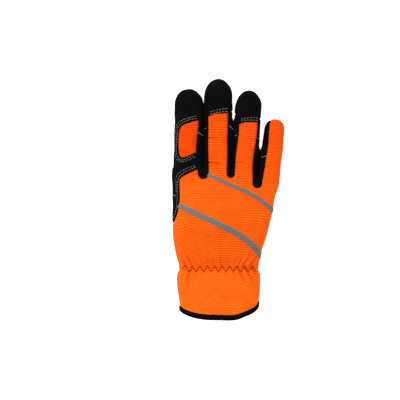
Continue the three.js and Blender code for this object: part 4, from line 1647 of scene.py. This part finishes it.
@dataclass
class Binding:
    """The black cloth folded over the edge of the mouth: a rounded band carried round the hem."""

    workshop: Workshop
    hem: Plan
    width: float = 5.9
    stands: float = 0.75
    inside: float = 2.2
    bend: int = 5
    around: int = 420
    middle: tuple[float, float] = (-9.5, 12.4)
    nearest: float = 2.0
    farthest: float = 60.0
    corner: float = 0.42
    relief: float = 0.6
    stitch_depth: float = 0.3
    stitch_up: float = 4.3
    stitch_width: float = 0.5
    inside_from: float = -0.7
    inside_lift: float = 0.5
    mouth_radius: float = 30.0

    def profile(self) -> Array:
        """The band's section, a rounded oblong: how far up from the hem and how far out of the skin."""
        centre = (self.stands - self.inside) / 2
        half_thick = (self.stands + self.inside) / 2
        corners = row(0, half_thick, self.width, half_thick, self.width, -half_thick, 0, -half_thick)
        radius = self.corner * half_thick * 2
        points = []
        for (up, out), start in zip(corners, (90.0, 0.0, -90.0, -180.0)):
            inset_up = radius if up == 0.0 else up - radius
            inset_out = math.copysign(half_thick - radius, out)
            for step in range(self.bend):
                turn = math.radians(start + 90.0 - 90.0 * step / (self.bend - 1))
                at = inset_up + radius * math.cos(turn)
                points.append((at, centre + inset_out + radius * math.sin(turn)))
        return np.array(points)

    def ring(self, up: Array, turn: Array) -> Array:
        """Places on the skin by height above the hem and turn round the cuff, by halving along rays."""
        line = curve_through(self.hem, 1.0)

        def place(reach: Array) -> Array:
            """Where each ray is at a reach from the cuff's middle, at its height above the hem."""
            x = self.middle[0] + reach * np.cos(turn)
            y = np.interp(x, line[:, 0], line[:, 1]) + up
            return np.stack([x, y, self.middle[1] + reach * np.sin(turn)], axis=1)

        near, far = np.full(len(turn), self.nearest), np.full(len(turn), self.farthest)
        return halve(near, far, place, FORM.skin, 24)

    def sew(self) -> None:
        """Carries the profile round the hem and adds the band."""
        profile = self.profile()
        turns = np.linspace(0, 2 * math.pi, 2000)
        coarse = self.ring(np.zeros(2000), turns)
        length = far_along(coarse)
        even = np.interp(np.linspace(0, length[-1], self.around + 1)[:-1], length, turns)
        turn, up = np.meshgrid(even, profile[:, 0], indexing="ij")
        skin = self.ring(up.ravel(), turn.ravel())
        out = np.tile(profile[:, 1], self.around)
        relief = self.relief * RELIEF.cloth(skin)
        stitch = self.stitch_depth * bell(up.ravel() - self.stitch_up, self.stitch_width) * (out > 0)
        points = skin + outward(FORM.skin, skin) * (out + relief - stitch)[:, None]
        lowest = np.where(out > self.inside_from, 0.0, self.inside_lift - out)
        points[:, 2] = np.maximum(points[:, 2], lowest)
        faces = grid_faces(self.around, len(profile), True)
        edge = np.minimum(up.ravel(), self.width - up.ravel())
        weave = np.stack([turn.ravel() * self.mouth_radius, up.ravel(), edge, 0 * edge], axis=1)
        mesh = to_mesh("cuff_binding_band", points, faces, weave)
        self.workshop.piece(mesh, BLACK_BINDING, Slot.BINDING, ("cuff_binding",))


@dataclass
class Stitching:
    """Every thread that shows: the light seams and tacks, and the orange zigzag over the elastic."""

    workshop: Workshop
    pitch: float = 3.0
    length: float = 2.8
    thread: float = 0.19
    sink: float = 0.16
    sides: int = 6
    zigzag_from: float = -47.5
    zigzag_to: float = 28.5
    zigzag_peak: float = -45.0
    zigzag_pitch: float = 7.7
    zigzag_half: float = 3.1
    zigzag_thread: float = 0.58
    zigzag_step: float = 0.35
    zigzag_lift: float = 0.1
    seam_lift: float = -0.02
    leather_lift: float = 0.05
    thread_end: float = 0.35
    stations: int = 5
    pad_insets: tuple[float, float] = (-1.6, -3.6)
    from_any_edge: float = 5.0
    tack_thread: float = 0.2
    tack_lift: float = 0.32
    tacks: tuple[Plan, ...] = (
        row(-32.1, 69.6, -26.1, 65.8),
        row(-24.8, 72.4, -22.7, 74.0),
        row(0.4, 76.6, 5.5, 72.1),
        row(6.7, 65.9, 9.0, 66.8),
        row(29.7, 63.7, 33.3, 60.6),
        row(33.5, 43.6, 39.2, 45.1),
        row(-57.0, 5.0, -54.0, 3.6),
    )

    def on_skin(self, plan: Array, side: Side, lift: float, knit: bool) -> tuple[Array, Array]:
        """Puts a plan line on the dressed glove.

        Args:
            plan: its plan points.
            side: from where it is set.
            lift: how far the thread's middle stands out of the material.
            knit: whether it lies on the knit, not on leather.

        Returns:
            Its points and the skin's outward direction at each.
        """
        points = FORM.drop(plan, side is Side.BACK)
        way = outward(FORM.skin, points)
        rise = RELIEF.cloth(points) if knit else RELIEF.leather(points) + self.leather_lift
        points = points + way * (rise + lift)[:, None]
        points[:, 2] = np.maximum(points[:, 2], self.thread)
        return points, way

    def tube(self, path: Array, way: Array, radius: float) -> tuple[Array, Array]:
        """A thread with closed, narrowed ends: rings of sides points across the path.

        A ring's point is the path plus radius (cos a, sin a) along the side and outward directions.
        """
        along = np.gradient(path, axis=0)
        along /= np.linalg.norm(along, axis=1, keepdims=True) + 1e-9
        side = np.cross(along, way)
        side /= np.linalg.norm(side, axis=1, keepdims=True) + 1e-9
        up = np.cross(side, along)
        size = np.full(len(path), radius)
        size[[0, -1]] *= self.thread_end
        turn = np.arange(self.sides) * 2 * math.pi / self.sides
        spread = side[:, None] * np.cos(turn)[None, :, None] + up[:, None] * np.sin(turn)[None, :, None]
        rings = path[:, None] + spread * size[:, None, None]
        points = np.concatenate([rings.reshape(-1, 3), path[:1], path[-1:]])
        faces = grid_faces(len(path), self.sides)[:, ::-1]
        first = np.arange(self.sides)
        last = first + (len(path) - 1) * self.sides
        after = (first + 1) % self.sides
        start = np.stack([np.full(self.sides, len(points) - 2), first, after], axis=1)
        end = np.stack([np.full(self.sides, len(points) - 1), after + last[0], last], axis=1)
        return points, np.concatenate([faces, start, end])

    def dashes(self, seam: Seam) -> list[tuple[Array, Array]]:
        """The stitches of one seam, each sunk at both its ends."""
        line = curve_through(seam.corners, 0.6, seam.closed)
        far = far_along(line)
        count = max(1, int(far[-1] / self.pitch))
        starts = np.arange(count) * (far[-1] / count)
        share = np.linspace(0.0, 1.0, self.stations)
        at = starts[:, None] + share[None, :] * self.length
        plan = np.stack([np.interp(at.ravel(), far, column) for column in line.T], axis=1)
        points, way = self.on_skin(plan, seam.side, self.seam_lift, False)
        sunk = np.tile(self.sink * (2 * share - 1) ** 4, count)
        shape = (count, self.stations, 3)
        paths = (points - way * sunk[:, None]).reshape(shape)
        return [self.tube(path, up, self.thread) for path, up in zip(paths, way.reshape(shape))]

    def add(self, name: str, threads: list[tuple[Array, Array]], finish: Finish, slot: Slot) -> None:
        """Joins threads into one piece."""
        starts = np.cumsum([0] + [len(points) for points, _ in threads])
        points = np.concatenate([points for points, _ in threads])
        faces = np.concatenate([faces + start for (_, faces), start in zip(threads, starts)])
        weave = np.tile([0.0, 0.0, self.from_any_edge, 0.0], (len(points), 1))
        self.workshop.piece(to_mesh(name, points, faces, weave), finish, slot)

    def sew(self) -> None:
        """Adds the seams, the tacks and the zigzag."""
        pads = tuple(
            Seam(outline_seam(corners, radius, inset), Side.PALM, True)
            for corners, radius in PAD_OUTLINES.values()
            for inset in self.pad_insets
        )
        for name, seams in (("back_seam_stitches", BACK_SEAMS), ("palm_seam_stitches", PALM_SEAMS + pads)):
            self.add(name, sum((self.dashes(seam) for seam in seams), []), LIGHT_THREAD, Slot.LEATHER)
        tacks = []
        for corners in self.tacks:
            points, way = self.on_skin(curve_through(corners, 0.6), Side.BACK, self.tack_lift, False)
            tacks.append(self.tube(points, way, self.tack_thread))
        self.add("finger_tacks", tacks, LIGHT_THREAD, Slot.CLOTH)
        x = np.arange(self.zigzag_from, self.zigzag_to, self.zigzag_step)
        swing = np.abs(((x - self.zigzag_peak) / self.zigzag_pitch) % 1.0 - 0.5) * 4.0 - 1.0
        plan = np.stack([x, RELIEF.elastic_y + self.zigzag_half * swing], axis=1)
        zigzag = self.tube(*self.on_skin(plan, Side.BACK, self.zigzag_lift, True), self.zigzag_thread)
        self.add("elastic_zigzag_stitch", [zigzag], ORANGE_THREAD, Slot.KNIT)


@dataclass
class Studio:
    """The floor, the soft lights and the camera straight above."""

    view_centre: tuple[float, float] = (-29.4, -0.3)
    view_width: float = 412.4
    subject_height: float = 15.0
    lens: float = 240.0
    sensor: float = 36.0
    world_light: float = 0.74
    floor_glow: float = 0.9
    floor_height: float = -0.0003
    floor_half: float = 3.0
    floor_pale: tuple[float, float, float, float] = (0.93, 0.93, 0.93, 1.0)
    floor_rough: float = 0.95
    lamps: tuple[tuple[str, tuple[float, float, float], float, float], ...] = (
        ("key", (-0.55, 0.55, 1.0), 0.8, 13.0),
        ("fill", (0.7, -0.3, 1.2), 1.2, 4.0),
    )

    def build(self) -> None:
        """Adds the floor, the world, the lamps and the camera."""
        scene = bpy.context.scene
        scene.view_settings.view_transform = "Standard"
        self.floor()
        world = bpy.data.worlds.new("studio")
        world.use_nodes = True
        world.node_tree.nodes["Background"].inputs["Color"].default_value = (1, 1, 1, 1)
        world.node_tree.nodes["Background"].inputs["Strength"].default_value = self.world_light
        scene.world = world
        for name, place, size, power in self.lamps:
            lamp = bpy.data.lights.new(name, "AREA")
            lamp.shape = "DISK"
            lamp.size = size
            lamp.energy = power
            aim = (-Vector(place)).to_track_quat("-Z", "Y")
            self.hold(name, lamp, place).rotation_euler = aim.to_euler()
        camera = bpy.data.cameras.new("camera")
        camera.lens = self.lens
        camera.sensor_width = self.sensor
        height = (self.view_width * self.lens / self.sensor + self.subject_height) * MM
        x, y = self.view_centre
        scene.camera = self.hold("camera", camera, (x * MM, y * MM, height))

    def hold(self, name: str, data: bpy.types.ID, place: tuple[float, ...]) -> Thing:
        """Puts a lamp or camera in the scene."""
        made = bpy.data.objects.new(name, data)
        made.location = place
        bpy.context.scene.collection.objects.link(made)
        return made

    def floor(self) -> None:
        """A plain pale floor just under the glove, glowing a little as a light table does."""
        mesh = bpy.data.meshes.new("floor")
        half = self.floor_half
        square = row(-half, -half, half, -half, half, half, -half, half)
        corners = [(x, y, self.floor_height) for x, y in square]
        mesh.from_pydata(corners, [], [(0, 1, 2, 3)])
        pale = bpy.data.materials.new("floor")
        pale.use_nodes = True
        shader = pale.node_tree.nodes["Principled BSDF"]
        shader.inputs["Base Color"].default_value = self.floor_pale
        shader.inputs["Roughness"].default_value = self.floor_rough
        shader.inputs["Emission Color"].default_value = (1.0, 1.0, 1.0, 1.0)
        shader.inputs["Emission Strength"].default_value = self.floor_glow
        mesh.materials.append(pale)
        made = bpy.data.objects.new("floor", mesh)
        bpy.context.scene.collection.objects.link(made)


def main() -> None:
    """Loads the frame, sews the glove's parts in order, and sets the studio round them."""
    logging.basicConfig(level=logging.INFO, format="%(message)s")
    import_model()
    workshop = Workshop()
    hand = Hand(workshop)
    whole = hand.sew()
    Thumb(workshop).sew()
    Trimmings(workshop, whole).sew()
    Binding(workshop, hand.hem).sew()
    Stitching(workshop).sew()
    Studio().build()


if __name__ == "__main__":
    main()
